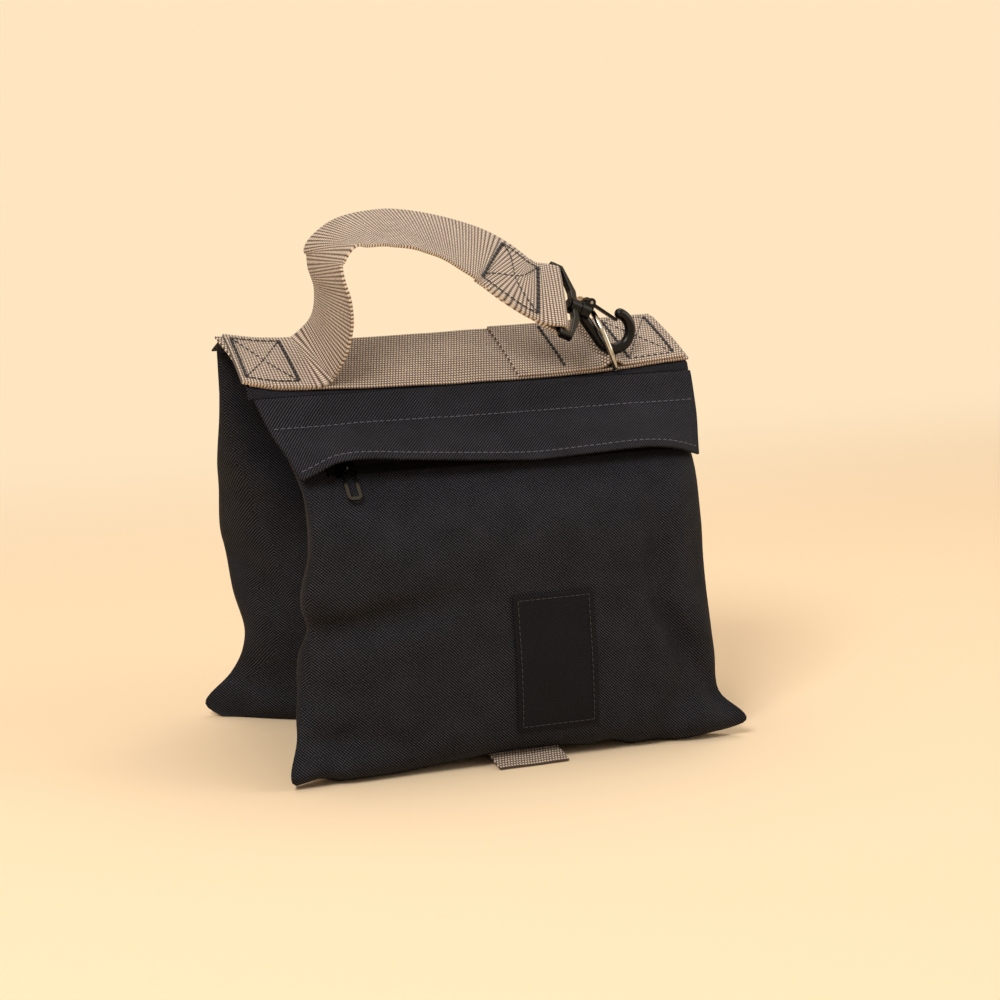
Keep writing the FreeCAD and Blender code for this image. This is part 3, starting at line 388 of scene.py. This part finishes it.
def pouch_section(rows, foot_lift, height):
    """Points round one level section, as (x, outward, z) in millimetres."""
    outer, inner, seam_left, seam_right, left, right_half = through(rows, height)
    neck = rows[-1][0]
    pinch = through(PINCH + [(neck, 0.5)], height)[0]
    flat = through(FLAT + [(neck, 0.95)], height)[0]
    sides = []
    for wall in (outer, inner):
        line = []
        for i in range(AROUND + 1):
            u = -1 + 2 * i / AROUND
            u = 1.18 * u - 0.18 * u**3
            half, seam = (left, seam_left) if u < 0 else (right_half, seam_right)
            seam += (0.5 * (outer + inner) - seam) * (1 - min(1, abs(u) * 1.6))
            y = seam + (wall - seam) * bulge(abs(u), flat, pinch)
            lift = through(foot_lift, u * half)[0] * max(0, 1 - height / 32) ** 2
            line.append((u * half, y, height + lift))
        sides.append(line)
    return sides[0] + sides[1][-2:0:-1]


# %% A pouch as one closed form
FLOOR_GAP = 0.3


def pouch_form(name, rows, foot_lift, outward):
    """The pouch as a closed form, seen from outside; outward is -1 in front and 1 at the back."""
    neck = rows[-1][0]
    count = int(neck / UP_STEP)
    heights = [neck * i / count for i in range(count + 1)]
    rings = [pouch_section(rows, foot_lift, h) for h in heights]
    foot = rings[0]
    middle = [(point[1] + foot[-i][1]) / 2 for i, point in enumerate(foot)]
    soles = []
    for share in (0.15, 0.5, 0.8):
        soles.append([(x, m + (y - m) * share, z) for (x, y, z), m in zip(foot, middle)])
    rings = soles + rings
    mesh, grid = bmesh.new(), []
    for ring in rings:
        grid.append([mesh.verts.new((x * MM, outward * y * MM, max(z, FLOOR_GAP) * MM))
                     for x, y, z in ring])
    size = len(grid[0])
    for low, high in zip(grid, grid[1:]):
        for i in range(size):
            j = (i + 1) % size
            mesh.faces.new((low[i], low[j], high[j], high[i]))
    half = size // 2
    for ring in (grid[0], grid[-1]):
        for i in range(half):
            quad = [ring[i], ring[i + 1], ring[(size - i - 1) % size], ring[(size - i) % size]]
            quad = list(dict.fromkeys(quad))
            if len(quad) > 2:
                mesh.faces.new(quad)
    bmesh.ops.recalc_face_normals(mesh, faces=mesh.faces)
    data = bpy.data.meshes.new(name)
    mesh.to_mesh(data)
    mesh.free()
    piece = bpy.data.objects.new(name, data)
    bpy.context.collection.objects.link(piece)
    return piece


# %% [markdown]
# ## Folds
# Sand fills a pouch unevenly, so its wall swells and creases. The sections already give the swell,
# and the folds are pressed in by moving points in code, with no simulation. Each follows a line on
# the pouch, is deep along it and fades to each side, and a soft ridge stands above it where the
# cloth has been pushed up.

# %% Folds
def press_folds(piece, outward, folds):
    """folds: (points as (x, z) in mm, width, depth, ridge) on the outer wall."""
    for vertex in piece.data.vertices:
        if vertex.co.y * outward < 40 * MM:
            continue
        spot = np.array([vertex.co.x, vertex.co.z]) / MM
        push = 0.0
        for line, width, depth, ridge in folds:
            best, side, place = 1e9, 1.0, 0.0
            line = np.asarray(line, float)
            for i, (a, b) in enumerate(zip(line, line[1:])):
                run = b - a
                t = min(max(np.dot(spot - a, run) / np.dot(run, run), 0), 1)
                away = spot - (a + run * t)
                gap = float(np.linalg.norm(away))
                if gap < best:
                    best, place = gap, (i + t) / (len(line) - 1)
                    side = 1.0 if run[0] * away[1] - run[1] * away[0] > 0 else -1.0
            fade = math.sin(math.pi * min(max(place * 0.9 + 0.08, 0), 1)) ** 0.6
            push -= depth * fade * math.exp(-(best / width) ** 2)
            push += ridge * fade * math.exp(-((best - 2.2 * width) / (1.6 * width)) ** 2) \
                * (1 if side > 0 else 0.45)
        push += 0.5 * (noise.noise(vertex.co * 22) + 0.5 * noise.noise(vertex.co * 55))
        vertex.co += vertex.normal * push * MM


def lay_weave(piece):
    """UV in metres: across is x, along is the height with the slope of the wall added."""
    layer = piece.data.uv_layers.new(name="UVMap")
    for polygon in piece.data.polygons:
        sideways = abs(polygon.normal.x) > 0.75
        for index in polygon.loop_indices:
            spot = piece.data.vertices[piece.data.loops[index].vertex_index].co
            layer.data[index].uv = (spot.y if sideways else spot.x, spot.z * 1.08)


FRONT_FOLDS = [
    ([(-126, 80), (-106, 79), (-87, 83), (-60, 89), (-28, 94)], 8, 5.5, 3.2),
    ([(-126, 12), (-112, 22), (-96, 24), (-66, 19)], 5, 3.2, 2.0),
    ([(-112, 3), (-104, 14), (-98, 34)], 4, 2.6, 1.4),
    ([(81, 138), (79, 124), (78, 104), (79, 79), (91, 59), (97, 20)], 6, 4.5, 2.6),
    ([(79, 79), (97, 51), (113, 25), (126, 10)], 5, 3.4, 2.0),
    ([(95, 30), (79, 2)], 6, 3.4, 1.8),
    ([(-98, 146), (-97, 120), (-104, 96)], 7, 2.6, 1.6),
    ([(-70, 150), (-58, 128), (-52, 112)], 9, 1.5, 0.9),
]
BACK_FOLDS = [
    ([(-112, 96), (-96, 74), (-80, 60), (-60, 52)], 8, 4.2, 2.4),
    ([(84, 148), (80, 110), (86, 70), (100, 24)], 6, 2.4, 1.2),
    ([(-100, 30), (-78, 8)], 6, 2.0, 1.0),
    ([(-20, 70), (25, 60), (60, 64)], 9, 1.6, 0.8),
]
pouches = {}
for side, rows, foot_lift, outward, folds in (("front", FRONT_ROWS, FRONT_LIFT, -1, FRONT_FOLDS),
                                              ("back", BACK_ROWS, BACK_LIFT, 1, BACK_FOLDS)):
    piece = pouch_form(f"{side}_pouch_cover", rows, foot_lift, outward)
    press_folds(piece, outward, folds)
    apply_modifier(piece, "SUBSURF", levels=1, render_levels=1)
    piece.data.shade_smooth()
    lay_weave(piece)
    dress(piece, NYLON, instead_of=[f"{side}_pouch_shell", f"{side}_liner"])
    pouches[side] = piece
    print(piece.name, "has", len(piece.data.vertices), "points")

# %% [markdown]
# ## The ridge
# The saddle is a strip of nylon over which the webbing is sewn. It sags a little in the middle,
# so the webbing's height and tilt are read from a small table, like the sections of a pouch.

# %% Ridge surface
# along the ridge: height of its middle line, tilt in degrees
RIDGE_SAG = [(-131, 213.0, 24), (-110, 209.4, 24), (-60, 207.6, 25), (0, 207.4, 27),
             (60, 208.0, 27), (127, 211.0, 23)]
WEB, WEB_THICK = 50 * MM, 1.6 * MM
CROWN = 0.9 * MM


def on_ridge(x, across, lift):
    """A spot on the ridge: x along it, across from its middle to the front, lift above it."""
    height, tilt = through(RIDGE_SAG, x / MM)
    turn = math.radians(tilt)
    lift += CROWN * (1 - (2 * across / WEB) ** 2)
    return Vector((x, -across * math.cos(turn) - lift * math.sin(turn),
                   height * MM - across * math.sin(turn) + lift * math.cos(turn)))


def ripple(x, across, seed):
    return noise.noise(Vector((x * 40, across * 30, seed))) * 0.5 * MM


RIDGE_LEFT, RIDGE_LONG, ASKEW = -130, 257.3, 5


def ridge_web(u, v):
    """The band along the ridge; its left end is cut askew, further out at the back."""
    x = (RIDGE_LEFT + RIDGE_LONG * v - ASKEW * (0.5 - u) * (1 - v) ** 4) * MM
    return on_ridge(x, (u - 0.5) * WEB, 0.8 * MM + ripple(x, (u - 0.5) * WEB, 3.0))


ridge = lay_cloth("ridge_band", WEB, RIDGE_LONG * MM, 16, 90, ridge_web)
finish_cloth(ridge, WEB_THICK)
dress(ridge, WEBBING, "saddle", ["ridge_webbing"])
print("ridge band:", RIDGE_LONG, "mm long")

# %% Saddle cloth
SADDLE_LEFT, SADDLE_LONG, SADDLE_WIDE = -129, 255.5, 76


def saddle_under(u, v):
    """The nylon below: under the webbing, then turned down to each pouch."""
    x = (SADDLE_LEFT + SADDLE_LONG * v) * MM
    front, rear = Vector((x, -24.4 * MM, 195.6 * MM)), Vector((x, 41.6 * MM, 214.6 * MM))
    edge_front, edge_rear = on_ridge(x, 25.3 * MM, -1.4 * MM), on_ridge(x, -26.2 * MM, -1.2 * MM)
    if u < 0.08:
        return front.lerp(edge_front, u / 0.08)
    if u > 0.74:
        return edge_rear.lerp(rear, (u - 0.74) / 0.26)
    return on_ridge(x, (25.3 - 51.5 * (u - 0.08) / 0.66) * MM, -1.3 * MM)


saddle = lay_cloth("saddle_cloth", SADDLE_WIDE * MM, SADDLE_LONG * MM, 26, 60, saddle_under)
finish_cloth(saddle, 1.1 * MM)
dress(saddle, NYLON, "saddle", ["saddle_panel"])
print("saddle cloth:", SADDLE_LONG, "by", SADDLE_WIDE, "mm flat")

# %% [markdown]
# ## The storm flaps
# Each flap is one strip of nylon: its upper part is sewn flat on the pouch, and from the stitch
# line down it hangs free over the zipper. The hem waves, and lifts at the left over the pull.

# %% Flaps
# each pouch's hinge: outward way, y and z of the line, and the wall's slope out and down
HINGES = {"front": (-1, 24.99, 194.64, 0.6618, -0.7497),
          "back": (1, 41.93, 213.72, 0.3325, -0.9431)}
YOKE, FLAP_END, FLAP_LONG = 20.0, 54.0, 246
HEM_FRONT = [(-115, 156.5), (-106, 161.5), (-97, 166), (-82, 167), (-50, 164), (-10, 160.4),
             (14, 158.8), (45, 159.6), (74, 161), (96, 159), (115, 153)]
HEM_BACK = [(-118, 162), (-60, 161), (0, 163), (60, 165), (98, 167), (118, 162)]


def flap_spot(side, x_share, along):
    """A spot on a flap: x_share from -1 to 1, along in millimetres from the ridge edge."""
    outward, hinge_y, hinge_z, out, down = HINGES[side]
    half = 126.5 - 12.5 * min(along / FLAP_END, 1) ** 1.2
    if side == "back":
        half = 125.5 - 6.5 * along / FLAP_END
    x = x_share * half
    lift = 1.5 + 0.5 * noise.noise(Vector((x * 0.035, along * 0.05, 7.0 + hinge_y)))
    yoke_end = YOKE + 1.2 * math.sin(x * 0.045 + 1.0)
    s = min(along, yoke_end)
    y, z = hinge_y + out * s, hinge_z + down * s
    if along > yoke_end:
        hem = through(HEM_FRONT if side == "front" else HEM_BACK, x)[0]
        rest = FLAP_END - yoke_end
        drop = min(max((z - hem) / rest, 0.2), 0.985)
        t = (along - yoke_end) / rest
        slope_y, slope_z = math.sqrt(1 - drop * drop), -drop
        ease = t * t * (3 - 2 * t) * 0.5 + t * 0.5
        y += rest * (out * (t - ease) + slope_y * ease)
        z += rest * (down * (t - ease) + slope_z * ease)
        lift += 0.7 * math.sin(math.pi * t)
    return Vector((x * MM, outward * (y - down * lift) * MM, (z + out * lift) * MM))


flaps = {}
for side in ("front", "back"):
    flap = lay_cloth(f"{side}_storm_flap", FLAP_LONG * MM, FLAP_END * MM, 90, 22,
                     lambda u, v: flap_spot(side, -1 + 2 * u, FLAP_END * v))
    finish_cloth(flap, 1.5 * MM)
    dress(flap, NYLON, instead_of=[f"{side}_yoke", f"{side}_flap"])
    flaps[side] = flap
print("flaps:", FLAP_LONG, "by", round(FLAP_END), "mm flat")

# %% [markdown]
# ## Straps
# A strap follows a smooth line of stations. Each has a roll, which says how far the band leans
# round its line. The same stations place the stitches later, so they always sit on the webbing.

# %% Helpers for straps
def rolled(route):
    """Points and across directions for a route of (point, roll in degrees)."""
    out = []
    for i, (point, roll) in enumerate(route):
        along = (route[min(i + 1, len(route) - 1)][0] - route[max(i - 1, 0)][0]).normalized()
        side = (Vector((0, -1, 0)) + along * along.y).normalized()
        turn = math.radians(roll)
        out.append((point, side * math.cos(turn) + along.cross(side) * math.sin(turn)))
    return out


class Band:
    """A flat band along a line of (point, across) stations."""

    def __init__(self, stations, width):
        self.width = width
        points = np.array([tuple(p) for p, a in stations])
        steps = np.linalg.norm(np.diff(points, axis=0), axis=1)
        self.run = np.concatenate([[0], np.cumsum(steps)])
        self.length = float(self.run[-1])
        self.table = [(s, *p, *a) for s, (p, a) in zip(self.run, stations)]

    def frame(self, s):
        row = through(self.table, s)
        ahead = through(self.table, min(s + 0.6 * MM, self.length))
        behind = through(self.table, max(s - 0.6 * MM, 0))
        along = Vector(ahead[:3] - behind[:3]).normalized()
        across = Vector(row[3:])
        across = (across - along * across.dot(along)).normalized()
        return Vector(row[:3]), across, across.cross(along).normalized()

    def spot(self, across_mm, s, lift=0.0):
        point, across, up_way = self.frame(s)
        return point + across * across_mm * MM + up_way * lift

    def piece(self, name, columns, rows, cup=0.0):
        def place(u, v):
            x = (u - 0.5) * self.width
            return self.spot(x / MM, v * self.length, -cup * (2 * u - 1) ** 2)
        return lay_cloth(name, self.width, self.length, columns, rows, place)


# %% [markdown]
# ## The handle
# The strap is sewn on the ridge, rises on edge, arches over and comes down to the clip. There it
# goes round the bar of the eye and folds back under itself, where the second box holds both plies.

# %% Handle strap
CLIP = Vector((48.8, -20.0, 238.4)) * MM
dip, roll = math.radians(24.4), math.radians(39)
CLIP_ALONG = Vector((math.cos(dip), 0, -math.sin(dip)))
CLIP_ACROSS = (Vector((0, -1, 0)) * math.cos(roll)
               + CLIP_ALONG.cross(Vector((0, -1, 0))) * math.sin(roll))
CLIP_UP = CLIP_ACROSS.cross(CLIP_ALONG)
LOOP = 3.5 * MM
ARCH = [
    (-84.9, -1.9, 214.2, 20.5), (-81.7, -3.8, 218.2, 14), (-79.2, -6.3, 223.7, 9),
    (-77.6, -8.5, 230.1, 6), (-76.9, -10.2, 237.8, 4), (-77.8, -11.4, 247.1, 2),
    (-80, -11.4, 254.8, 1), (-81.1, -10.6, 262.7, 2), (-79, -10.2, 269.4, 5),
    (-72.8, -8.2, 274.4, 9), (-64.2, -6.7, 277.7, 13), (-53.2, -5, 279.6, 16.5),
    (-41.1, -4.4, 279.8, 19.5), (-28.4, -3.6, 278.2, 23), (-13.6, -4.4, 274.4, 27),
    (2.3, -6.6, 267.6, 34), (15, -9.6, 260.4, 40),
]
SEWN = [(-130, 0, 24), (-112, 0, 25), (-101, 0, 25), (-95, 0, 25), (-89.2, 0.7, 25)]
FOLD_BACK, PLY = 46, 1.9
route = [(on_ridge(x * MM, 0, (PLY + lift) * MM), tilt) for x, lift, tilt in SEWN]
route += [(Vector((x, y, z)) * MM, lean) for x, y, z, lean in ARCH]
route.append((CLIP - CLIP_ALONG * 24 * MM + Vector((0, 2, 1.5)) * MM, 42))
stations = rolled(route)
stations.append((CLIP - CLIP_ALONG * 12 * MM, CLIP_ACROSS))
upper = Band(stations, WEB)
for step in range(9):
    turn = math.radians(90 - 22.5 * step)
    stations.append((CLIP + CLIP_UP * LOOP * math.sin(turn) + CLIP_ALONG * LOOP * math.cos(turn),
                     CLIP_ACROSS))
for back_by in range(0, FOLD_BACK - 12, 6):
    spot, across, up_way = upper.frame(upper.length - back_by * MM)
    stations.append((spot - up_way * PLY * MM, across))
handle = Band(stations, WEB)
strap = handle.piece("handle_band", 14, 260, cup=0.6 * MM)
finish_cloth(strap, WEB_THICK, even=False)
dress(strap, RIBBED, "saddle", ["handle_strap"])
print("handle strap is", round(handle.length / MM), "mm long")

# %% [markdown]
# ## The strap over the ring
# A shorter piece of the same webbing is sewn on the ridge from under the hook to the right end.
# It humps over the straight bar of the ring, with a row of stitches on each side of the hump.

# %% Ring strap
RING_X, RING_STRAP_LIFT, RING_STRAP_LONG = 81.05, 2.45, 105
HUMP = [(24, 0), (40, 0), (52, 0), (RING_X - 9, 0.1), (RING_X - 5.8, 0.5), (RING_X - 3.4, 2.6),
        (RING_X, 3.6), (RING_X + 3.4, 2.6), (RING_X + 5.8, 0.5), (RING_X + 9, 0.1), (100, 0),
        (112, 0), (124.5, 0)]


def over_ring(u, v):
    x = 24 + 100.5 * v
    lift = RING_STRAP_LIFT + through(HUMP, x)[0]
    return on_ridge(x * MM, (u - 0.5) * 49.4 * MM, lift * MM + ripple(x * MM, u * 0.05, 8.0) * 0.4)


ring_band = lay_cloth("ring_band", WEB, RING_STRAP_LONG * MM, 14, 80, over_ring)
finish_cloth(ring_band, WEB_THICK)
dress(ring_band, WEBBING, "saddle", ["ring_strap"])
print("ring strap:", RING_STRAP_LONG, "mm long")

# %% [markdown]
# ## Stitches
# A row of stitches is one small bowed thread, copied along a line on the cloth. Each stitch dips at
# both ends, where it goes into the cloth, and so it is modelled once as a thin arched tube.

# %% Helpers for stitches
def stitch_row(name, line, lift_ways, length=3.0, gap=0.7, radius=0.34):
    """Stitches along a line of points; lift_ways are the cloth's outward directions there."""
    points = np.array([tuple(p) for p in line])
    ways = np.array([tuple(w) for w in lift_ways])
    run = np.concatenate([[0], np.cumsum(np.linalg.norm(np.diff(points, axis=0), axis=1))])

    def at(s):
        spot = Vector([np.interp(s, run, points[:, k]) for k in range(3)])
        way = Vector([np.interp(s, run, ways[:, k]) for k in range(3)]).normalized()
        return spot, way

    mesh = bmesh.new()
    count = max(1, int(run[-1] / ((length + gap) * MM)))
    pitch = run[-1] / count
    for n in range(count):
        rings = []
        for k in range(6):
            t = k / 5
            spot, way = at((n + 0.08 + 0.84 * t) * pitch)
            ahead, _ = at(min((n + 0.1 + 0.84 * t) * pitch + 0.2 * MM, run[-1]))
            along = ahead - spot
            along = along.normalized() if along.length > 1e-9 else Vector((1, 0, 0))
            side = along.cross(way).normalized()
            lean = 0.25 * noise.noise(Vector((n * 1.7, k * 0.2, len(points))))
            rise = (math.sin(math.pi * t) ** 0.5 * 1.5 - 0.8) * radius * MM
            spot = spot + way * rise + side * lean * radius * MM
            rings.append([mesh.verts.new(spot + (side * math.cos(a) + way * math.sin(a))
                                         * radius * MM * (1.0 if 0 < k < 5 else 0.5))
                          for a in (math.tau * j / 6 for j in range(6))])
        for low, high in zip(rings, rings[1:]):
            for j in range(6):
                mesh.faces.new((low[j], low[(j + 1) % 6], high[(j + 1) % 6], high[j]))
        mesh.faces.new(rings[0][::-1])
        mesh.faces.new(rings[-1])
    bmesh.ops.recalc_face_normals(mesh, faces=mesh.faces)
    data = bpy.data.meshes.new(name)
    mesh.to_mesh(data)
    mesh.free()
    data.shade_smooth()
    piece = bpy.data.objects.new(name, data)
    bpy.context.collection.objects.link(piece)
    return piece


def sewn_on(surface, corners, steps=24):
    """A line through (across, along) corners of a surface, with the outward way at each point."""
    line, ways = [], []
    for (a0, s0), (a1, s1) in zip(corners, corners[1:]):
        for k in range(steps + 1):
            t = k / steps
            a, s = a0 + (a1 - a0) * t, s0 + (s1 - s0) * t
            here = surface(a, s)
            da = surface(a + 0.3, s) - here
            ds = surface(a, s + 0.3) - here
            line.append(here)
            ways.append(da.cross(ds).normalized())
    return line, ways


def box_cross(near, far, half):
    """The corners of a box with a cross in it, walked in one line."""
    return [(-half, near), (half, near), (half, far), (-half, far), (-half, near), (half, far)], \
           [(half, near), (-half, far)]


# %% [markdown]
# ## Sewing
# The flaps carry two rows in slate thread: one holds the flap to the pouch, one follows the hem.
# The straps are held by boxes with a cross in black thread, the strongest way to sew webbing down.

# %% Flap rows
def flap_row(side, along):
    """A line across a flap, with the cloth's outward way at each of its points."""
    line, ways = [], []
    for i in range(121):
        share = -0.985 + 1.97 * i / 120
        here = flap_spot(side, share, along)
        across = flap_spot(side, share + 0.004, along) - here
        down = flap_spot(side, share, along + 0.4) - here
        way = across.cross(down).normalized()
        if way.y * HINGES[side][0] < 0:
            way = -way
        line.append(here + way * 0.75 * MM)
        ways.append(way)
    return line, ways


for side in ("front", "back"):
    for name, along, body in (("upper", YOKE - 0.5, "pouch"), ("hem", FLAP_END - 4.5, "flap")):
        row = stitch_row(f"{side}_flap_{name}_stitches", *flap_row(side, along), length=2.7,
                         gap=0.9, radius=0.3)
        dress(row, FLAP_THREAD, f"{side}_{body}")
        print(row.name, "has", len(row.data.polygons), "faces")

# %% Strap boxes
def on_handle(across, s):
    return handle.spot(across, s * MM, WEB_THICK / 2)


def on_ring_band(across, x):
    lift = RING_STRAP_LIFT + through(HUMP, x)[0]
    return on_ridge(x * MM, across * MM, lift * MM + WEB_THICK / 2)


def sew(name, surface, corners, up_way, radius=0.32, gap=0.5):
    """A row of black stitches on a strap, standing out of its upper side."""
    line, ways = sewn_on(surface, corners)
    row = stitch_row(name, line, [w if w.dot(up_way) > 0 else -w for w in ways], length=3.4,
                     gap=gap, radius=radius)
    dress(row, DARK_THREAD, "saddle")


HALF_BOX, BAR = 20.5, 0.85
clip_at = upper.length / MM + 12
for name, surface, near, far, up_way in (
        ("handle_left_box", on_handle, 3, 31, Vector((0, 0, 1))),
        ("handle_right_box", on_handle, clip_at - 43, clip_at - 13, CLIP_UP),
        ("ring_strap_box", on_ring_band, 92, 119, Vector((0, 0, 1)))):
    walk, cross = box_cross(near, far, HALF_BOX)
    sew(f"{name}_walk", surface, walk, up_way)
    sew(f"{name}_cross", surface, cross, up_way)
    for end, at in (("near", near), ("far", far)):
        sew(f"{name}_{end}_bar", surface, [(-HALF_BOX, at), (HALF_BOX, at)], up_way, BAR, 0.1)
sew("ring_strap_bar", on_ring_band, [(-HALF_BOX, 53), (HALF_BOX, 53)], Vector((0, 0, 1)), BAR, 0.1)
print("the right box ends", round(clip_at - 13), "mm along the handle")

# %% [markdown]
# ## Label and tab
# A patch of satin ribbon is sewn on the front pouch. It is left bare. A short fold of webbing
# sticks out under the foot, where a strap could be tied.

# %% Label
front_tree = BVHTree.FromObject(pouches["front"], bpy.context.evaluated_depsgraph_get())


def on_front(x, z, lift):
    hit, normal, _, _ = front_tree.ray_cast(Vector((x, -0.2, z)), Vector((0, 1, 0)))
    if hit is None:
        hit, normal = Vector((x, -0.085, z)), Vector((0, -1, 0))
    return hit + normal * lift


LABEL_LEFT, LABEL_LOW, LABEL_WIDE, LABEL_HIGH = -8.0, 18.5, 46.5, 73.5


def label_place(u, v):
    x, z = LABEL_LEFT + LABEL_WIDE * u + 1.5 * (1 - v), LABEL_LOW + LABEL_HIGH * v
    spots = [on_front((x + dx) * MM, (z + dz) * MM, 0.7 * MM)
             for dx, dz in ((0, 0), (2, 0), (-2, 0), (0, 2), (0, -2))]
    spot = sum(spots, Vector()) / len(spots)
    spot.x, spot.z = x * MM, z * MM
    return spot


label = lay_cloth("satin_label", LABEL_WIDE * MM, LABEL_HIGH * MM, 24, 36, label_place)
if label.data.polygons[0].normal.y > 0:
    label.data.flip_normals()
finish_cloth(label, 0.8 * MM)
dress(label, SATIN, "front_pouch", ["front_label"])
print("label:", LABEL_WIDE, "by", LABEL_HIGH, "mm")


# %% Label stitches
def label_line(corners):
    line, ways = [], []
    for (u0, v0), (u1, v1) in zip(corners, corners[1:]):
        for k in range(17):
            t = k / 16
            spot = label_place(u0 + (u1 - u0) * t, v0 + (v1 - v0) * t)
            line.append(spot + Vector((0, -0.5 * MM, 0)))
            ways.append(Vector((0, -1, 0)))
    return line, ways


line, ways = label_line([(0.06, 0.04), (0.94, 0.04), (0.94, 0.96), (0.06, 0.96), (0.06, 0.04)])
row = stitch_row("label_stitches", line, ways, length=2.6, gap=0.6, radius=0.26)
dress(row, DARK_THREAD, "front_pouch")

# %% Tab under the foot
TAB_FRONT, TAB_DEEP, TAB_LONG, TAB_RISE = -90, 16, 40, 4.2
tab_low, tab_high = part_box("front_bottom_tab")


def tab_place(u, v):
    """The tab slopes up towards the foot, where it is sewn in."""
    x = tab_low.x + (tab_high.x - tab_low.x) * v
    y = (TAB_FRONT + TAB_DEEP * u) * MM
    return Vector((x, y, (0.95 + TAB_RISE * u + 0.15 * math.sin(v * 9)) * MM))


tab = lay_cloth("foot_tab", TAB_DEEP * MM, TAB_LONG * MM, 6, 16, tab_place)
finish_cloth(tab, 1.5 * MM)
dress(tab, WEBBING, "front_pouch", ["front_bottom_tab"])
print("tab:", TAB_LONG, "by", TAB_DEEP, "mm flat")

# %% [markdown]
# ## Pouches and flaps baked in place
# Cloth can't hinge, it bends, and each flap is laid with its bend along its stitch line. Here each
# pouch cover and each flap only has its placement written into its points.

# %% Baked placements
for side in ("front", "back"):
    outward, hinge_y, hinge_z, out, down = HINGES[side]

    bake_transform(pouches[side])
    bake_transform(flaps[side])

# %% [markdown]
# ## Metal and plastic
# The eye, the hook, its gate and the ring keep their solids, which have the right shapes, and get
# their own finishes: black enamel on the cast parts, nickel on the ring.

# %% Finishes of the solids
finishes = {"snap_eye": ENAMEL, "snap_hook": ENAMEL, "swivel_stud": ENAMEL, "snap_gate": ENAMEL,
            "gate_pin": STEEL, "d_ring": NICKEL}
for side in ("front", "back"):
    finishes |= {f"{side}_slider": ENAMEL, f"{side}_pull": GLOSS_PLASTIC,
                 f"{side}_zip_upper": ZIP_TAPE, f"{side}_zip_lower": ZIP_TAPE,
                 f"{side}_zip_stops": GLOSS_PLASTIC}
for name, finish in finishes.items():
    dress(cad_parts[name], finish)
print("solids kept:", len(finishes))

# %% [markdown]
# ## Floor and light
# A plain, pale, warm floor curves up into a backdrop, as a paper roll does in a studio. Behind the
# bag it shows one even colour to the camera. Soft lamps light the bag from the upper left, the
# right and above, and the world fills in the rest.

# %% Floor and backdrop
SWEEP_WIDE, SWEEP_LONG, SWEEP_FRONT = 9, 10.5, -4
SWEEP_START, SWEEP_RADIUS = 1.2, 1.6
BACKDROP = "ffe6c1"


def sweep(u, v):
    """A floor that curves up into a wall behind the bag; v is 0 in front and 1 at the top."""
    x, run = (u - 0.5) * SWEEP_WIDE, SWEEP_FRONT + v * SWEEP_LONG
    quarter = SWEEP_RADIUS * math.pi / 2
    if run < SWEEP_START:
        return Vector((x, run, 0))
    if run < SWEEP_START + quarter:
        turn = (run - SWEEP_START) / SWEEP_RADIUS
        return Vector((x, SWEEP_START + SWEEP_RADIUS * math.sin(turn),
                       SWEEP_RADIUS * (1 - math.cos(turn))))
    return Vector((x, SWEEP_START + SWEEP_RADIUS, SWEEP_RADIUS + run - SWEEP_START - quarter))


floor = lay_cloth("floor", SWEEP_WIDE, SWEEP_LONG, 2, 120, sweep)
floor.data.shade_smooth()
paint, tree, painted = start_material("painted floor", Roughness=0.95, Specular_IOR_Level=0.1)
painted.inputs["Base Color"].default_value = linear("f4d9b4")
place = add(tree, "ShaderNodeSeparateXYZ", {0: add(tree, "ShaderNodeTexCoord").outputs["Object"]})
far = add(tree, "ShaderNodeMapRange", {"Value": place.outputs[1], 1: 0.3, 2: 1.1},
          interpolation_type="SMOOTHSTEP").outputs[0]
shown = math_node(tree, "MULTIPLY", far, add(tree, "ShaderNodeLightPath").outputs["Is Camera Ray"])
wall = add(tree, "ShaderNodeEmission", {"Color": linear(BACKDROP), "Strength": 1.0})
both = add(tree, "ShaderNodeMixShader", {0: shown, 1: painted.outputs[0], 2: wall.outputs[0]})
tree.links.new(both.outputs[0], tree.nodes["Material Output"].inputs["Surface"])
floor.data.materials.append(paint)

# %% World and lamps
world = bpy.data.worlds.new("studio")
bpy.context.scene.world = world
world.use_nodes = True
tree = world.node_tree
# the camera and shiny metal see the backdrop's colour, and all else gets a soft fill
fill = tree.nodes["Background"]
fill.inputs["Color"].default_value = linear("fff4e6")
fill.inputs["Strength"].default_value = 0.4
seen = add(tree, "ShaderNodeBackground", {"Color": linear(BACKDROP), "Strength": 1.0})
ray = add(tree, "ShaderNodeLightPath")
shown = math_node(tree, "MAXIMUM", ray.outputs["Is Camera Ray"], ray.outputs["Is Glossy Ray"])
either = add(tree, "ShaderNodeMixShader", {0: shown, 1: fill.outputs[0], 2: seen.outputs[0]})
tree.links.new(either.outputs[0], tree.nodes["World Output"].inputs["Surface"])


def lamp(name, place, aim, size, power):
    data = bpy.data.lights.new(name, "AREA")
    data.shape, data.size, data.energy = "SQUARE", size, power
    holder = bpy.data.objects.new(name, data)
    bpy.context.collection.objects.link(holder)
    holder.location = place
    holder.rotation_euler = (Vector(aim) - Vector(place)).to_track_quat("-Z", "Y").to_euler()


lamp("key", (-1.2, -1.2, 1.8), (0, 0, 0.12), 0.8, 34)
lamp("side", (1.6, -0.8, 0.9), (0, 0, 0.12), 1.0, 9)
lamp("top", (0.2, 0.5, 2.0), (0, 0, 0.15), 1.4, 16)
print("lamps:", len(bpy.data.lights))
